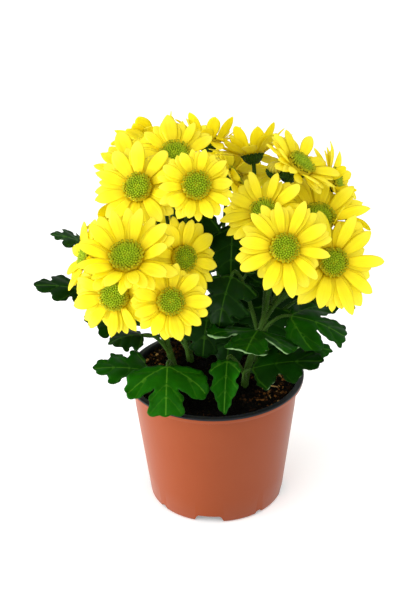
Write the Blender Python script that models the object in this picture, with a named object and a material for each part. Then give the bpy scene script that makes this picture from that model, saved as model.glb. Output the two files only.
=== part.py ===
"""Pot chrysanthemum: yellow daisy blooms on five leafy stems, in soil in a terracotta plastic pot.

The origin is the centre of the pot's underside, +Z is up and the photograph's camera is on the
-Y side. Everything is worked out in millimetres, and add_object writes it in metres.
"""
import math
import random
from dataclasses import dataclass
from typing import Dict, List, Optional, Sequence, Tuple

import bpy
from mathutils import Matrix, Vector
from mathutils.bvhtree import BVHTree
from mathutils.geometry import delaunay_2d_cdt

SEED = 7
METRES = 0.001

# Clearances
GAP = 0.3
SEARCH_GAP = 0.36

# Pot
POT_HEIGHT = 91.5
LIP_RADIUS = 60.0
WALL_TOP_RADIUS = 56.4
FOOT_RADIUS = 45.9
FOOT_EDGE_HEIGHT = 1.2
LIP_DROP = 4.6
STEP_HEIGHT = 84.5
STEP_DEPTH = 0.7
LIP_EDGE_ROUND = 0.9
LIP_INNER_HEIGHT = 91.1
SHEET = 1.1
FOOT_RING_WIDTH = 4.5
PAD_RADIUS = 33.0
CHANNEL_HEIGHT = 3.2
FLOOR_LIFT = 4.4
POT_SIDES = 40
NOTCH_TURN = -7.3
WIDE_NOTCH = (20.0, 14.0, 4.0)
SMALL_NOTCH = (6.5, 4.5, 2.7)
DRAIN_RADIUS = 2.4
DRAIN_RING = 38.2

# Soil
SOIL_TOP = 87.0
SOIL_LUMP = 1.3
STEM_FOOT = 70.0
HOLE_MARGIN = 0.45

# Stems
TRUNK_RADII = (2.7, 2.6, 2.3, 1.9)
PEDICEL_RADIUS = 1.25
PEDICEL_ROOT_RADIUS = 1.6
PEDICEL_SIDES = 6
PEDICEL_STEPS = (0.0, 0.36, 0.7, 1.0)
TRUNK_SIDES = 8
CALYX_DEPTH = 5.4
CALYX_WIDTH = 0.74

# Blooms
HUB_TOP = 0.0
HUB_MIDDLE = -0.9
HUB_BOTTOM = -1.8
HUB_MARGIN = 0.5
DISC_SIDES = 10
DISC_HEIGHT = 0.42
PETAL_STATIONS = (0.42, 0.80, 1.0)
PETAL_HALF_WIDTHS = (0.46, 0.47, 0.16)
PETAL_KEELS = (0.95, 0.8)
UPPER_ROW = (20.0, 2.0)
LOWER_ROW = (4.0, -9.0)
PETAL_WIDTH_SHARE = 0.82

# Leaves
BLADE_THICKNESS = 0.72
PETIOLE_HALF_WIDTH = 1.15
PETIOLE_HALF_HEIGHT = 0.8

LOBED_HALF = (
    (0.02, 0.06), (0.10, 0.42), (0.15, 0.80), (0.28, 1.00), (0.38, 0.84), (0.43, 0.50),
    (0.53, 0.78), (0.64, 0.90), (0.73, 0.70), (0.75, 0.40), (0.86, 0.46), (0.95, 0.26),
)
LOBED_RIB = (0.20, 0.42, 0.70)
PLAIN_HALF = (
    (0.02, 0.07), (0.13, 0.70), (0.34, 1.00), (0.46, 0.72), (0.62, 0.88), (0.77, 0.55),
    (0.91, 0.36),
)
PLAIN_RIB = (0.25, 0.60)
PALMATE_HALF = (
    (0.02, 0.05), (0.01, 0.42), (0.10, 0.86), (0.33, 0.98), (0.52, 1.00), (0.68, 0.84),
    (0.62, 0.54), (0.51, 0.29), (0.70, 0.42), (0.82, 0.39), (0.95, 0.44),
)
PALMATE_RIB = (0.22, 0.50, 0.80)
OUTLINES = {
    "lobed": (LOBED_HALF, LOBED_RIB),
    "plain": (PLAIN_HALF, PLAIN_RIB),
    "palmate": (PALMATE_HALF, PALMATE_RIB),
}


@dataclass(frozen=True)
class Trunk:
    """One rooted cutting: where it stands in the soil and where its top is."""

    name: str
    foot: Tuple[float, float]
    top: Tuple[float, float, float]


@dataclass(frozen=True)
class Bloom:
    """One daisy bloom: the centre of its hub, where it faces, and its size."""

    name: str
    trunk: str
    fork: float
    centre: Tuple[float, float, float]
    azimuth: float
    elevation: float
    disc: float
    ray: float
    count: int
    cup: float = 0.0
    sway: Tuple[float, float, float] = (0.0, 0.0, 0.0)


@dataclass(frozen=True)
class Leaf:
    """One lobed leaf: its petiole starts on the trunk, its blade runs from base to tip."""

    name: str
    trunk: str
    height: float
    base: Tuple[float, float, float]
    tip: Tuple[float, float, float]
    width: float
    fold: float = -12.0
    roll: float = 0.0
    arch: float = 0.10
    kind: str = "plain"


@dataclass(frozen=True)
class Bud:
    """One closed bud on a short stalk."""

    name: str
    trunk: str
    fork: float
    centre: Tuple[float, float, float]
    azimuth: float
    elevation: float
    radius: float


TRUNKS = (
    Trunk("stem_front_left", (-26.0, -8.0), (-34.0, -10.0, 128.0)),
    Trunk("stem_left", (-17.0, 20.0), (-27.0, 18.0, 150.0)),
    Trunk("stem_front_right", (20.0, -12.0), (33.0, -12.0, 140.0)),
    Trunk("stem_right", (29.0, 17.0), (46.0, 18.0, 150.0)),
    Trunk("stem_back", (3.0, 34.0), (5.0, 40.0, 148.0)),
)

# Ordered by how much of each bloom the photograph shows.
BLOOMS = (
    Bloom("a", "stem_front_left", 128.0, (-53, -47, 201), -10, 58, 9.7, 22.0, 10, 25),
    Bloom("b", "stem_front_right", 138.0, (43, -46, 205), 0, 30, 8.3, 19.8, 10, 0),
    Bloom("c", "stem_left", 150.0, (-46, -10, 231), -20, 40, 8.4, 20.0, 10, 4),
    Bloom("d", "stem_left", 150.0, (-10, -32, 241), 5, 35, 8.2, 14.0, 10, 10),
    Bloom("e", "stem_front_left", 118.0, (-27, -62, 178), 15, 30, 7.8, 15.5, 9, 0),
    Bloom("f", "stem_front_right", 134.0, (74.5, -26, 185), 15, 25, 8.5, 23.5, 10, 2),
    Bloom("g", "stem_front_left", 112.0, (-62, -40, 172), -20, 17, 8.9, 17.5, 10, 0),
    Bloom("h", "stem_right", 148.0, (66.5, -8, 206.5), 10, 62, 9.8, 21.5, 10, 8),
    Bloom("i", "stem_front_right", 140.0, (31.5, -22, 218.5), -25, 50, 7.8, 18.5, 9, 6),
    Bloom("j", "stem_left", 150.0, (-23, 14, 242.5), 0, 60, 9.0, 18.0, 9, 10),
    Bloom("k", "stem_right", 150.0, (55.5, 4, 238.5), 70, 55, 8.4, 17.0, 9, 14),
    Bloom("l", "stem_right", 144.0, (79, 24, 219), 76, 25, 7.8, 17.0, 9, 12),
    Bloom("m", "stem_back", 148.0, (26.5, 38, 234), -165, 60, 8.0, 19.0, 9, 34),
    Bloom("n", "stem_front_left", 126.0, (-19, -30, 191.5), 35, 25, 7.6, 17.0, 8, 0),
    Bloom("o", "stem_left", 144.0, (-50, 15, 234), -20, 62, 8.0, 17.0, 8, 14),
    Bloom("p", "stem_back", 148.0, (-2, 46, 240), 160, 62, 8.0, 18.0, 8, 30),
    Bloom("q", "stem_left", 132.0, (-81, -8, 183), -72, 26, 8.0, 16.0, 8, 4),
    Bloom("r", "stem_back", 146.0, (14, 18, 224), 105, 32, 7.8, 15.0, 8, 6),
    Bloom("s", "stem_left", 140.0, (-38, 52, 238), -165, 48, 8.4, 19.0, 7, 14),
    Bloom("t", "stem_back", 140.0, (12, 74, 204), 172, 34, 8.6, 20.0, 7, 4),
    Bloom("u", "stem_right", 146.0, (52, 50, 216), 155, 45, 8.4, 20.0, 7, 4),
    Bloom("v", "stem_right", 138.0, (86, 36, 194), 112, 32, 8.2, 18.0, 7, 4),
    Bloom("w", "stem_left", 128.0, (-64, 44, 190), -125, 30, 8.2, 18.0, 7, 4),
    Bloom("x", "stem_back", 128.0, (-24, 78, 178), -172, 20, 8.2, 18.0, 7, 4),
)

BUDS = (
    Bud("bud_front", "stem_front_right", 140.0, (39, 1, 236.5), 20, 70, 5.0),
    Bud("bud_back", "stem_back", 132.0, (34, 66, 188), 150, 35, 4.4),
)

LEAVES = (
    Leaf("l1", "stem_front_left", 98, (-31, -30, 115), (-32, -66, 98), 54, -10, 0, 0.08, "palmate"),
    Leaf("l2", "stem_front_left", 94, (-42, -20, 104), (-80, -20, 107), 40, -6, -6, 0.06, "lobed"),
    Leaf("l3", "stem_front_right", 94, (8, -27, 117), (5, -55, 92), 26, 40, 0, 0.10, "plain"),
    Leaf("l4", "stem_front_right", 116, (28, -24, 136), (18, -62, 140), 60, -6, -6, 0.06, "palmate"),
    Leaf("l5", "stem_front_right", 92, (22, -26, 108), (70, -33, 117), 44, -8, 10, 0.06, "lobed"),
    Leaf("l6", "stem_front_right", 124, (48, -16, 142), (88, -24, 128), 60, -8, 6, 0.08, "palmate"),
    Leaf("l7", "stem_right", 100, (58, 0, 108), (79, 4, 104), 20, -6, 20, 0.06, "plain"),
    Leaf("l8", "stem_left", 126, (-76, 8, 146), (-118, 4, 157), 34, -10, -10, 0.08, "lobed"),
    Leaf("l9", "stem_left", 142, (-80, 20, 176), (-106, 18, 187), 30, -8, 0, 0.08, "lobed"),
    Leaf("l10", "stem_left", 112, (-52, -2, 122), (-86, -4, 136), 38, -12, 0, 0.08, "lobed"),
    Leaf("m1", "stem_front_right", 126, (12, -10, 170), (2, -26, 136), 46, -10, 0, 0.08, "lobed"),
    Leaf("m3", "stem_left", 143, (13, 14, 194), (11, -2, 160), 38, -10, 0, 0.08, "plain"),
    Leaf("m4", "stem_back", 112, (-2, 14, 140), (-8, -6, 106), 44, -10, 0, 0.08, "lobed"),
    Leaf("m6", "stem_right", 130, (60, 0, 152), (90, -8, 158), 38, -12, 0, 0.10, "plain"),
    Leaf("m8", "stem_front_left", 110, (-46, -20, 132), (-68, -26, 126), 32, -12, 0, 0.10, "plain"),
    Leaf("m10", "stem_back", 138, (22, 26, 150), (28, 40, 194), 50, -8, 0, 0.06, "lobed"),
    Leaf("n1", "stem_right", 112, (36, 6, 140), (34, -10, 108), 48, -10, 0, 0.08, "lobed"),
    Leaf("n3", "stem_right", 104, (38, 30, 112), (36, 44, 154), 52, -8, 0, 0.06, "lobed"),
    Leaf("n2", "stem_back", 102, (14, 18, 124), (8, 2, 96), 42, -10, 0, 0.08, "plain"),
    Leaf("m12", "stem_back", 130, (-6, 20, 204), (-8, 6, 172), 34, -10, 0, 0.08, "plain"),
    Leaf("m13", "stem_right", 124, (38, 22, 140), (40, 36, 182), 46, -8, 0, 0.06, "plain"),
    Leaf("k1", "stem_back", 124, (-10, 54, 134), (-32, 90, 128), 44, -12, 0, 0.12, "lobed"),
    Leaf("k2", "stem_back", 116, (16, 56, 126), (34, 92, 116), 46, -12, 0, 0.12, "palmate"),
    Leaf("k3", "stem_right", 116, (62, 30, 130), (100, 46, 122), 46, -12, 0, 0.12, "lobed"),
    Leaf("k4", "stem_left", 116, (-46, 36, 130), (-84, 50, 126), 44, -12, 0, 0.12, "palmate"),
    Leaf("k5", "stem_back", 96, (4, 50, 110), (0, 84, 100), 40, -12, 0, 0.12, "plain"),
    Leaf("k6", "stem_right", 98, (46, 38, 112), (72, 64, 102), 40, -12, 0, 0.12, "plain"),
    Leaf("k7", "stem_left", 96, (-36, 40, 110), (-62, 66, 102), 38, -12, 0, 0.12, "plain"),
    Leaf("k8", "stem_right", 132, (66, 22, 156), (100, 26, 156), 36, -12, 0, 0.10, "plain"),
    Leaf("k9", "stem_left", 132, (-54, 26, 156), (-88, 34, 160), 32, -12, 0, 0.10, "plain"),
)

Mesh = Tuple[List[Vector], List[Tuple[int, ...]]]


def direction(azimuth: float, elevation: float) -> Vector:
    """Unit vector: azimuth 0 looks at the camera (-Y), positive turns to +X."""
    a = math.radians(azimuth)
    e = math.radians(elevation)
    return Vector((math.sin(a) * math.cos(e), -math.cos(a) * math.cos(e), math.sin(e)))


def axes_about(axis: Vector) -> Tuple[Vector, Vector]:
    """Two unit vectors square to the axis: the first level, the second pointing up."""
    level = Vector((0, 0, 1)).cross(axis)
    if level.length < 1e-3:
        level = Vector((1, 0, 0))
    level.normalize()
    return level, axis.cross(level).normalized()


def triangles(faces: Sequence[Tuple[int, ...]]) -> List[Tuple[int, int, int]]:
    """Splits every face into a fan from its first corner."""
    result = []
    for face in faces:
        for i in range(1, len(face) - 1):
            result.append((face[0], face[i], face[i + 1]))
    return result


class Shape:
    """A triangle mesh with a search tree and a bounding ball for the clearance tests."""

    def __init__(self, verts: Sequence[Vector], faces: Sequence[Tuple[int, ...]]) -> None:
        self.centre = sum(verts, Vector((0, 0, 0))) / len(verts)
        self.radius = max((v - self.centre).length for v in verts)
        self.tree = BVHTree.FromPolygons([tuple(v) for v in verts], triangles(faces))

    def touches(self, other: "Shape") -> bool:
        """True where the two surfaces cross."""
        reach = self.radius + other.radius
        if (self.centre - other.centre).length_squared > reach * reach:
            return False
        return bool(self.tree.overlap(other.tree))


def clear(shape: Shape, others: Sequence[Shape]) -> bool:
    """True where the shape crosses none of the others."""
    return not any(shape.touches(other) for other in others)


def add_object(name: str, mesh: Mesh, material: bpy.types.Material) -> bpy.types.Object:
    """Makes one object in metres from a mesh in millimetres."""
    verts, faces = mesh
    data = bpy.data.meshes.new(name)
    data.from_pydata([tuple(v * METRES) for v in verts], [], faces)
    data.validate()
    data.materials.append(material)
    obj = bpy.data.objects.new(name, data)
    bpy.context.scene.collection.objects.link(obj)
    return obj


def material(name: str, colour: Tuple[float, float, float], roughness: float) -> bpy.types.Material:
    """A Principled material of one colour."""
    made = bpy.data.materials.new(name)
    made.use_nodes = True
    shader = made.node_tree.nodes["Principled BSDF"]
    shader.inputs["Base Color"].default_value = (*colour, 1.0)
    shader.inputs["Roughness"].default_value = roughness
    shader.inputs["Metallic"].default_value = 0.0
    return made


def revolve(profile: Sequence[Tuple[float, float]], sides: int) -> Mesh:
    """Turns a closed profile that begins and ends on the axis round +Z."""
    verts = [Vector((0, 0, profile[0][1]))]
    for radius, height in profile[1:-1]:
        for i in range(sides):
            a = 2 * math.pi * i / sides
            verts.append(Vector((radius * math.sin(a), -radius * math.cos(a), height)))
    verts.append(Vector((0, 0, profile[-1][1])))
    faces = []
    rings = len(profile) - 2
    last = len(verts) - 1
    for i in range(sides):
        j = (i + 1) % sides
        faces.append((0, 1 + j, 1 + i))
        for r in range(rings - 1):
            low = 1 + r * sides
            high = low + sides
            faces.append((low + i, low + j, high + j, high + i))
        top = 1 + (rings - 1) * sides
        faces.append((last, top + i, top + j))
    return verts, faces


def prism(outline: Sequence[Vector], push: Vector) -> Mesh:
    """A closed prism from an outline pushed along a vector."""
    count = len(outline)
    verts = [v.copy() for v in outline] + [v + push for v in outline]
    faces = [tuple(range(count - 1, -1, -1)), tuple(range(count, 2 * count))]
    for i in range(count):
        j = (i + 1) % count
        faces.append((i, j, count + j, count + i))
    return verts, faces


def boolean(obj: bpy.types.Object, tools: Sequence[bpy.types.Object], operation: str) -> None:
    """Joins or cuts the tools in one step, applies it and removes them."""
    group = bpy.data.collections.new(obj.name + "_tools")
    bpy.context.scene.collection.children.link(group)
    for tool in tools:
        bpy.context.scene.collection.objects.unlink(tool)
        group.objects.link(tool)
    modifier = obj.modifiers.new("join", "BOOLEAN")
    modifier.operand_type = "COLLECTION"
    modifier.collection = group
    modifier.operation = operation
    modifier.solver = "MANIFOLD" if operation == "UNION" else "EXACT"
    graph = bpy.context.evaluated_depsgraph_get()
    result = bpy.data.meshes.new_from_object(obj.evaluated_get(graph))
    obj.modifiers.clear()
    old = obj.data
    obj.data = result
    bpy.data.meshes.remove(old)
    for tool in tools:
        bpy.data.objects.remove(tool)
    bpy.data.collections.remove(group)


def build_pot(plastic: bpy.types.Material) -> bpy.types.Object:
    """The thin pot: tapered wall, outward lip, foot ring, flat pad, notches and drain holes."""
    slope = (WALL_TOP_RADIUS - FOOT_RADIUS) / (POT_HEIGHT - LIP_DROP)

    def wall(height: float) -> float:
        return FOOT_RADIUS + slope * height

    under_lip = POT_HEIGHT - LIP_DROP
    inner_foot = FOOT_RADIUS - FOOT_RING_WIDTH
    profile = (
        (0.0, 0.0),
        (PAD_RADIUS, 0.0),
        (PAD_RADIUS + 1.0, CHANNEL_HEIGHT),
        (inner_foot, CHANNEL_HEIGHT),
        (inner_foot + 0.6, 0.0),
        (FOOT_RADIUS - FOOT_EDGE_HEIGHT, 0.0),
        (wall(FOOT_EDGE_HEIGHT), FOOT_EDGE_HEIGHT),
        (wall(STEP_HEIGHT) - STEP_DEPTH, STEP_HEIGHT),
        (wall(STEP_HEIGHT), STEP_HEIGHT + STEP_DEPTH),
        (wall(under_lip), under_lip),
        (LIP_RADIUS - LIP_EDGE_ROUND, under_lip + 0.6),
        (LIP_RADIUS, POT_HEIGHT - LIP_EDGE_ROUND),
        (LIP_RADIUS - LIP_EDGE_ROUND, POT_HEIGHT),
        (wall(LIP_INNER_HEIGHT) - SHEET, LIP_INNER_HEIGHT),
        (wall(FLOOR_LIFT) - SHEET, FLOOR_LIFT),
        (0.0, FLOOR_LIFT),
    )
    pot = add_object("pot", revolve(profile, POT_SIDES), plastic)
    tools = []
    for i in range(8):
        wide, narrow, tall = WIDE_NOTCH if i % 2 == 0 else SMALL_NOTCH
        turn = Matrix.Rotation(math.radians(NOTCH_TURN + 45.0 * i), 3, "Z")
        low = -1.0
        spread = (wide - narrow) / 2 * (tall - low) / tall
        outline = [
            Vector((-(narrow / 2 + spread), -DRAIN_RING, low)),
            Vector((narrow / 2 + spread, -DRAIN_RING, low)),
            Vector((narrow / 2, -DRAIN_RING, tall)),
            Vector((-narrow / 2, -DRAIN_RING, tall)),
        ]
        push = turn @ Vector((0, -FOOT_RADIUS, 0))
        cut = prism([turn @ v for v in outline], push)
        tools.append(add_object("notch", cut, plastic))
        drain = []
        for k in range(6):
            a = math.radians(60 * k)
            spot = Vector((DRAIN_RADIUS * math.cos(a), DRAIN_RADIUS * math.sin(a) - DRAIN_RING + 1.0, low))
            drain.append(turn @ spot)
        hole = prism(drain, Vector((0, 0, FLOOR_LIFT + 3.0)))
        tools.append(add_object("drain", hole, plastic))
    boolean(pot, tools, "DIFFERENCE")
    return pot


def build_soil(peat: bpy.types.Material) -> bpy.types.Object:
    """The potting soil: a lumpy top, a plain side just inside the pot, and a hole per stem."""
    draw = random.Random(SEED)
    slope = (WALL_TOP_RADIUS - FOOT_RADIUS) / (POT_HEIGHT - LIP_DROP)
    inner = FOOT_RADIUS - SHEET - GAP * 1.2
    bottom = FLOOR_LIFT + GAP
    edge = SOIL_TOP - 2.0
    rings = (
        (inner + slope * bottom, bottom, POT_SIDES),
        (inner + slope * edge, edge, POT_SIDES),
        (inner + slope * edge - 4.0, SOIL_TOP - 0.4, POT_SIDES // 2),
        (38.0, SOIL_TOP, POT_SIDES // 2),
        (24.0, SOIL_TOP + 0.6, POT_SIDES // 2),
        (11.0, SOIL_TOP + 1.0, POT_SIDES // 4),
    )
    verts = []
    starts = []
    for index, (radius, height, count) in enumerate(rings):
        starts.append(len(verts))
        for i in range(count):
            a = 2 * math.pi * i / count
            lift = draw.uniform(-SOIL_LUMP, SOIL_LUMP) if index >= 2 else 0.0
            reach = radius + (draw.uniform(-1.5, 1.5) if index >= 3 else 0.0)
            verts.append(Vector((reach * math.sin(a), -reach * math.cos(a), height + lift)))
    verts.append(Vector((0, 0, SOIL_TOP + 1.6)))
    faces = [tuple(reversed(range(POT_SIDES)))]
    for ring in range(len(rings) - 1):
        low, count = starts[ring], rings[ring][2]
        high, fewer = starts[ring + 1], rings[ring + 1][2]
        if count == fewer:
            for i in range(count):
                j = (i + 1) % count
                if ring == 0:
                    faces.append((low + i, low + j, high + j, high + i))
                else:
                    faces.append((low + i, low + j, high + i))
                    faces.append((low + j, high + j, high + i))
        else:
            for i in range(fewer):
                j = (i + 1) % fewer
                a, b, c = low + 2 * i, low + 2 * i + 1, low + (2 * i + 2) % count
                faces.append((a, b, high + i))
                faces.append((b, high + j, high + i))
                faces.append((b, c, high + j))
    centre = len(verts) - 1
    last = rings[-1][2]
    for i in range(last):
        faces.append((starts[-1] + i, starts[-1] + (i + 1) % last, centre))
    soil = add_object("soil", (verts, faces), peat)
    tools = []
    for trunk in TRUNKS:
        radius = TRUNK_RADII[0] + HOLE_MARGIN
        outline = []
        for i in range(TRUNK_SIDES):
            a = 2 * math.pi * i / TRUNK_SIDES
            spot = Vector((radius * math.cos(a), radius * math.sin(a), 0))
            outline.append(Vector((trunk.foot[0], trunk.foot[1], STEM_FOOT - GAP)) + spot)
        tools.append(add_object("hole", prism(outline, Vector((0, 0, 30.0))), peat))
    boolean(soil, tools, "DIFFERENCE")
    return soil


def bezier(a: Vector, b: Vector, c: Vector, d: Vector, t: float) -> Vector:
    """Point on a cubic curve."""
    u = 1 - t
    return a * (u * u * u) + b * (3 * u * u * t) + c * (3 * u * t * t) + d * (t * t * t)


def tube(path: Sequence[Vector], radii: Sequence[float], sides: int) -> Mesh:
    """A closed tube along a path, with its rings turned as little as possible."""
    tangents = []
    for i, point in enumerate(path):
        before = path[max(i - 1, 0)]
        after = path[min(i + 1, len(path) - 1)]
        tangents.append((after - before).normalized())
    side = tangents[0].cross(Vector((0.3, 1.0, 0.1)))
    side.normalize()
    verts = []
    for point, tangent, radius in zip(path, tangents, radii):
        side = (side - tangent * side.dot(tangent)).normalized()
        other = tangent.cross(side)
        for k in range(sides):
            a = 2 * math.pi * k / sides
            verts.append(point + (side * math.cos(a) + other * math.sin(a)) * radius)
    faces = [tuple(reversed(range(sides)))]
    for ring in range(len(path) - 1):
        low = ring * sides
        high = low + sides
        for k in range(sides):
            j = (k + 1) % sides
            faces.append((low + k, low + j, high + j, high + k))
    faces.append(tuple(range((len(path) - 1) * sides, len(path) * sides)))
    return verts, faces


def trunk_axis(trunk: Trunk) -> List[Vector]:
    """The trunk's four axis points, the first two upright for its hole."""
    foot = Vector((trunk.foot[0], trunk.foot[1], STEM_FOOT))
    collar = foot + Vector((0, 0, SOIL_TOP - STEM_FOOT + 4.0))
    top = Vector(trunk.top)
    middle = collar.lerp(top, 0.5) + Vector((0, 0, 3.0))
    return [foot, collar, middle, top]


def point_at_height(axis: Sequence[Vector], height: float) -> Vector:
    """Where an upward path passes a height."""
    for low, high in zip(axis, axis[1:]):
        if low.z <= height <= high.z:
            return low.lerp(high, (height - low.z) / (high.z - low.z))
    return axis[-1].copy()


def pedicel(start: Vector, end: Vector, facing: Vector, sway: Vector) -> List[Vector]:
    """A flower stalk's path: up and outward from the trunk, then along the bloom's axis."""
    reach = (end - start).length
    rise = ((end - start).normalized() + Vector((0, 0, 1))).normalized()
    one = start + rise * reach * 0.38 + sway
    two = end - facing * min(reach * 0.34, 26.0) + sway
    return [bezier(start, one, two, end, t) for t in PEDICEL_STEPS]


def bloom_stalk(bloom: Bloom, start: Vector) -> Mesh:
    """The stalk with the green cup that holds the hub."""
    facing = direction(bloom.azimuth, bloom.elevation)
    top = Vector(bloom.centre) + facing * (HUB_BOTTOM - GAP)
    neck = top - facing * CALYX_DEPTH
    path = pedicel(start, neck, facing, Vector(bloom.sway))
    slim = [PEDICEL_ROOT_RADIUS] + [PEDICEL_RADIUS] * (len(path) - 1)
    path += [neck + facing * CALYX_DEPTH * 0.5, top]
    slim += [bloom.disc * CALYX_WIDTH * 0.8, bloom.disc * CALYX_WIDTH]
    return tube(path, slim, PEDICEL_SIDES)


def bud_stalk(bud: Bud, start: Vector) -> Mesh:
    """The stalk with the cup under a bud."""
    facing = direction(bud.azimuth, bud.elevation)
    top = Vector(bud.centre) - facing * GAP
    neck = top - facing * bud.radius
    path = pedicel(start, neck, facing, Vector((0, 0, 0)))
    slim = [PEDICEL_ROOT_RADIUS] + [PEDICEL_RADIUS] * (len(path) - 1)
    path += [neck + facing * bud.radius * 0.45, top]
    slim += [bud.radius * 0.85, bud.radius * 0.95]
    return tube(path, slim, PEDICEL_SIDES)


def blade_pattern(half: Sequence[Tuple[float, float]], rib: Sequence[float]) -> Tuple:
    """The flat leaf outline cut into triangles, mirrored about its rib.

    Returns:
        The (along, across) points, the triangles and the boundary loop. Points 0 and 1 are the
        two ends of the base edge, where the petiole joins.
    """
    right = [Vector(p) for p in half]
    left = [Vector((p.x, -p.y)) for p in right]
    tip = Vector((1.0, 0.0))
    loop = left + [tip] + list(reversed(right))
    points = loop + [Vector((s, 0.0)) for s in rib]
    count = len(loop)
    spine = [count - 1] + list(range(count, count + len(rib))) + [len(left)]
    edges = [(i, (i + 1) % count) for i in range(count)]
    edges += [(a, b) for a, b in zip(spine[1:], spine[2:])]
    found = delaunay_2d_cdt(points, edges, [tuple(range(count))], 1, 1e-6)
    faces = [tuple(f) if normal_z(found[0], f) > 0 else tuple(reversed(f)) for f in found[2]]
    return [(v.x, v.y) for v in found[0]], faces, list(range(count))


def normal_z(points: Sequence[Vector], face: Sequence[int]) -> float:
    """Sign of a flat triangle's turn."""
    a, b, c = (points[i] for i in face)
    return (b.x - a.x) * (c.y - a.y) - (b.y - a.y) * (c.x - a.x)


def blade_frame(base: Vector, tip: Vector, roll: float) -> Tuple[Vector, Vector, Vector]:
    """The blade's run, its side and its upper normal."""
    run = tip - base
    forward = run.normalized()
    side = forward.cross(Vector((0, 0, 1)))
    side = side.normalized() if side.length > 1e-3 else Vector((1, 0, 0))
    side = Matrix.Rotation(math.radians(roll), 3, forward) @ side
    return run, side, side.cross(forward).normalized()


def leaf_parts(leaf: Leaf, root: Vector, base: Vector, tip: Vector, scale: float,
               patterns: Dict[str, Tuple], thickness: float) -> Tuple[Mesh, Mesh]:
    """The whole leaf with its petiole, and the blade alone for the clearance tests."""
    points, faces, loop = patterns[leaf.kind]
    tip = base.lerp(tip, scale)
    run, side, normal = blade_frame(base, tip, leaf.roll)
    fold = math.radians(leaf.fold)
    half = leaf.width * scale / 2
    middle = []
    for along, across in points:
        spot = base + run * along + normal * (leaf.arch * run.length * 4 * along * (1 - along))
        out = side * (across * half * math.cos(fold))
        lift = normal * (abs(across) * half * math.sin(fold))
        middle.append(spot + out + lift)
    normals = [Vector((0, 0, 0)) for _ in middle]
    for a, b, c in faces:
        area = (middle[b] - middle[a]).cross(middle[c] - middle[a])
        for i in (a, b, c):
            normals[i] += area
    if sum(n.dot(normal) for n in normals) < 0:
        faces = [tuple(reversed(f)) for f in faces]
        normals = [-n for n in normals]
        loop = list(reversed(loop))
    normals = [n.normalized() * thickness / 2 for n in normals]
    count = len(middle)
    verts = [m + n for m, n in zip(middle, normals)] + [m - n for m, n in zip(middle, normals)]
    solid = list(faces) + [tuple(count + i for i in reversed(f)) for f in faces]
    size = len(loop)
    ends = {0, size - 1}
    for k in range(size):
        i, j = loop[k], loop[(k + 1) % size]
        if {i, j} == ends:
            start = (j, i, count + i, count + j)
            continue
        solid.append((i, count + i, count + j, j))
    blade = (list(verts), solid + [start])
    corners = [verts[i] for i in start]
    mouth = sum(corners, Vector((0, 0, 0))) / 4
    across = ((corners[1] - corners[0]) + (corners[2] - corners[3])).normalized()
    heading = (root - mouth).normalized()
    bend = mouth - run.normalized() * (root - mouth).length * 0.35
    previous = start
    for t in (0.33, 0.66, 1.0):
        spot = mouth * (1 - t) ** 2 + bend * 2 * t * (1 - t) + root * t * t
        flat = (across - heading * across.dot(heading)).normalized() * PETIOLE_HALF_WIDTH
        tall = flat.cross(heading).normalized() * PETIOLE_HALF_HEIGHT
        if tall.dot(corners[0] - corners[3]) < 0:
            tall = -tall
        first = len(verts)
        verts += [spot - flat + tall, spot + flat + tall, spot + flat - tall, spot - flat - tall]
        ring = (first, first + 1, first + 2, first + 3)
        for k in range(4):
            j = (k + 1) % 4
            solid.append((previous[k], previous[j], ring[j], ring[k]))
        previous = ring
    solid.append(previous)
    return (verts, solid), blade


def place_leaf(leaf: Leaf, root: Vector, patterns: Dict[str, Tuple],
               foreign: Sequence[Shape], own: Sequence[Shape]) -> Optional[Tuple[Mesh, Shape]]:
    """Turns and shortens a leaf by the least that keeps it clear of all else."""
    base = Vector(leaf.base)
    run = Vector(leaf.tip) - base
    options = []
    for scale in (1.0, 0.92, 0.84, 0.76, 0.66):
        for lift in (0, 8, -8, 16, -16, 26, -26, 38, -38):
            for swing in (0, 9, -9, 18, -18, 30, -30):
                cost = abs(lift) + abs(swing) * 0.9 + (1 - scale) * 90
                options.append((cost, scale, lift, swing))
    options.sort()
    across = run.cross(Vector((0, 0, 1)))
    across = across.normalized() if across.length > 1e-3 else Vector((1, 0, 0))
    for _, scale, lift, swing in options:
        turn = Matrix.Rotation(math.radians(swing), 3, "Z")
        turn = turn @ Matrix.Rotation(math.radians(lift), 3, across)
        tip = base + turn @ run
        thick = BLADE_THICKNESS + 2 * SEARCH_GAP
        whole, blade = leaf_parts(leaf, root, base, tip, scale, patterns, thick)
        if not clear(Shape(*whole), foreign):
            continue
        shape = Shape(*blade)
        if not clear(shape, own):
            continue
        real, _ = leaf_parts(leaf, root, base, tip, scale, patterns, BLADE_THICKNESS)
        return real, Shape(*blade)
    return None


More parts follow.
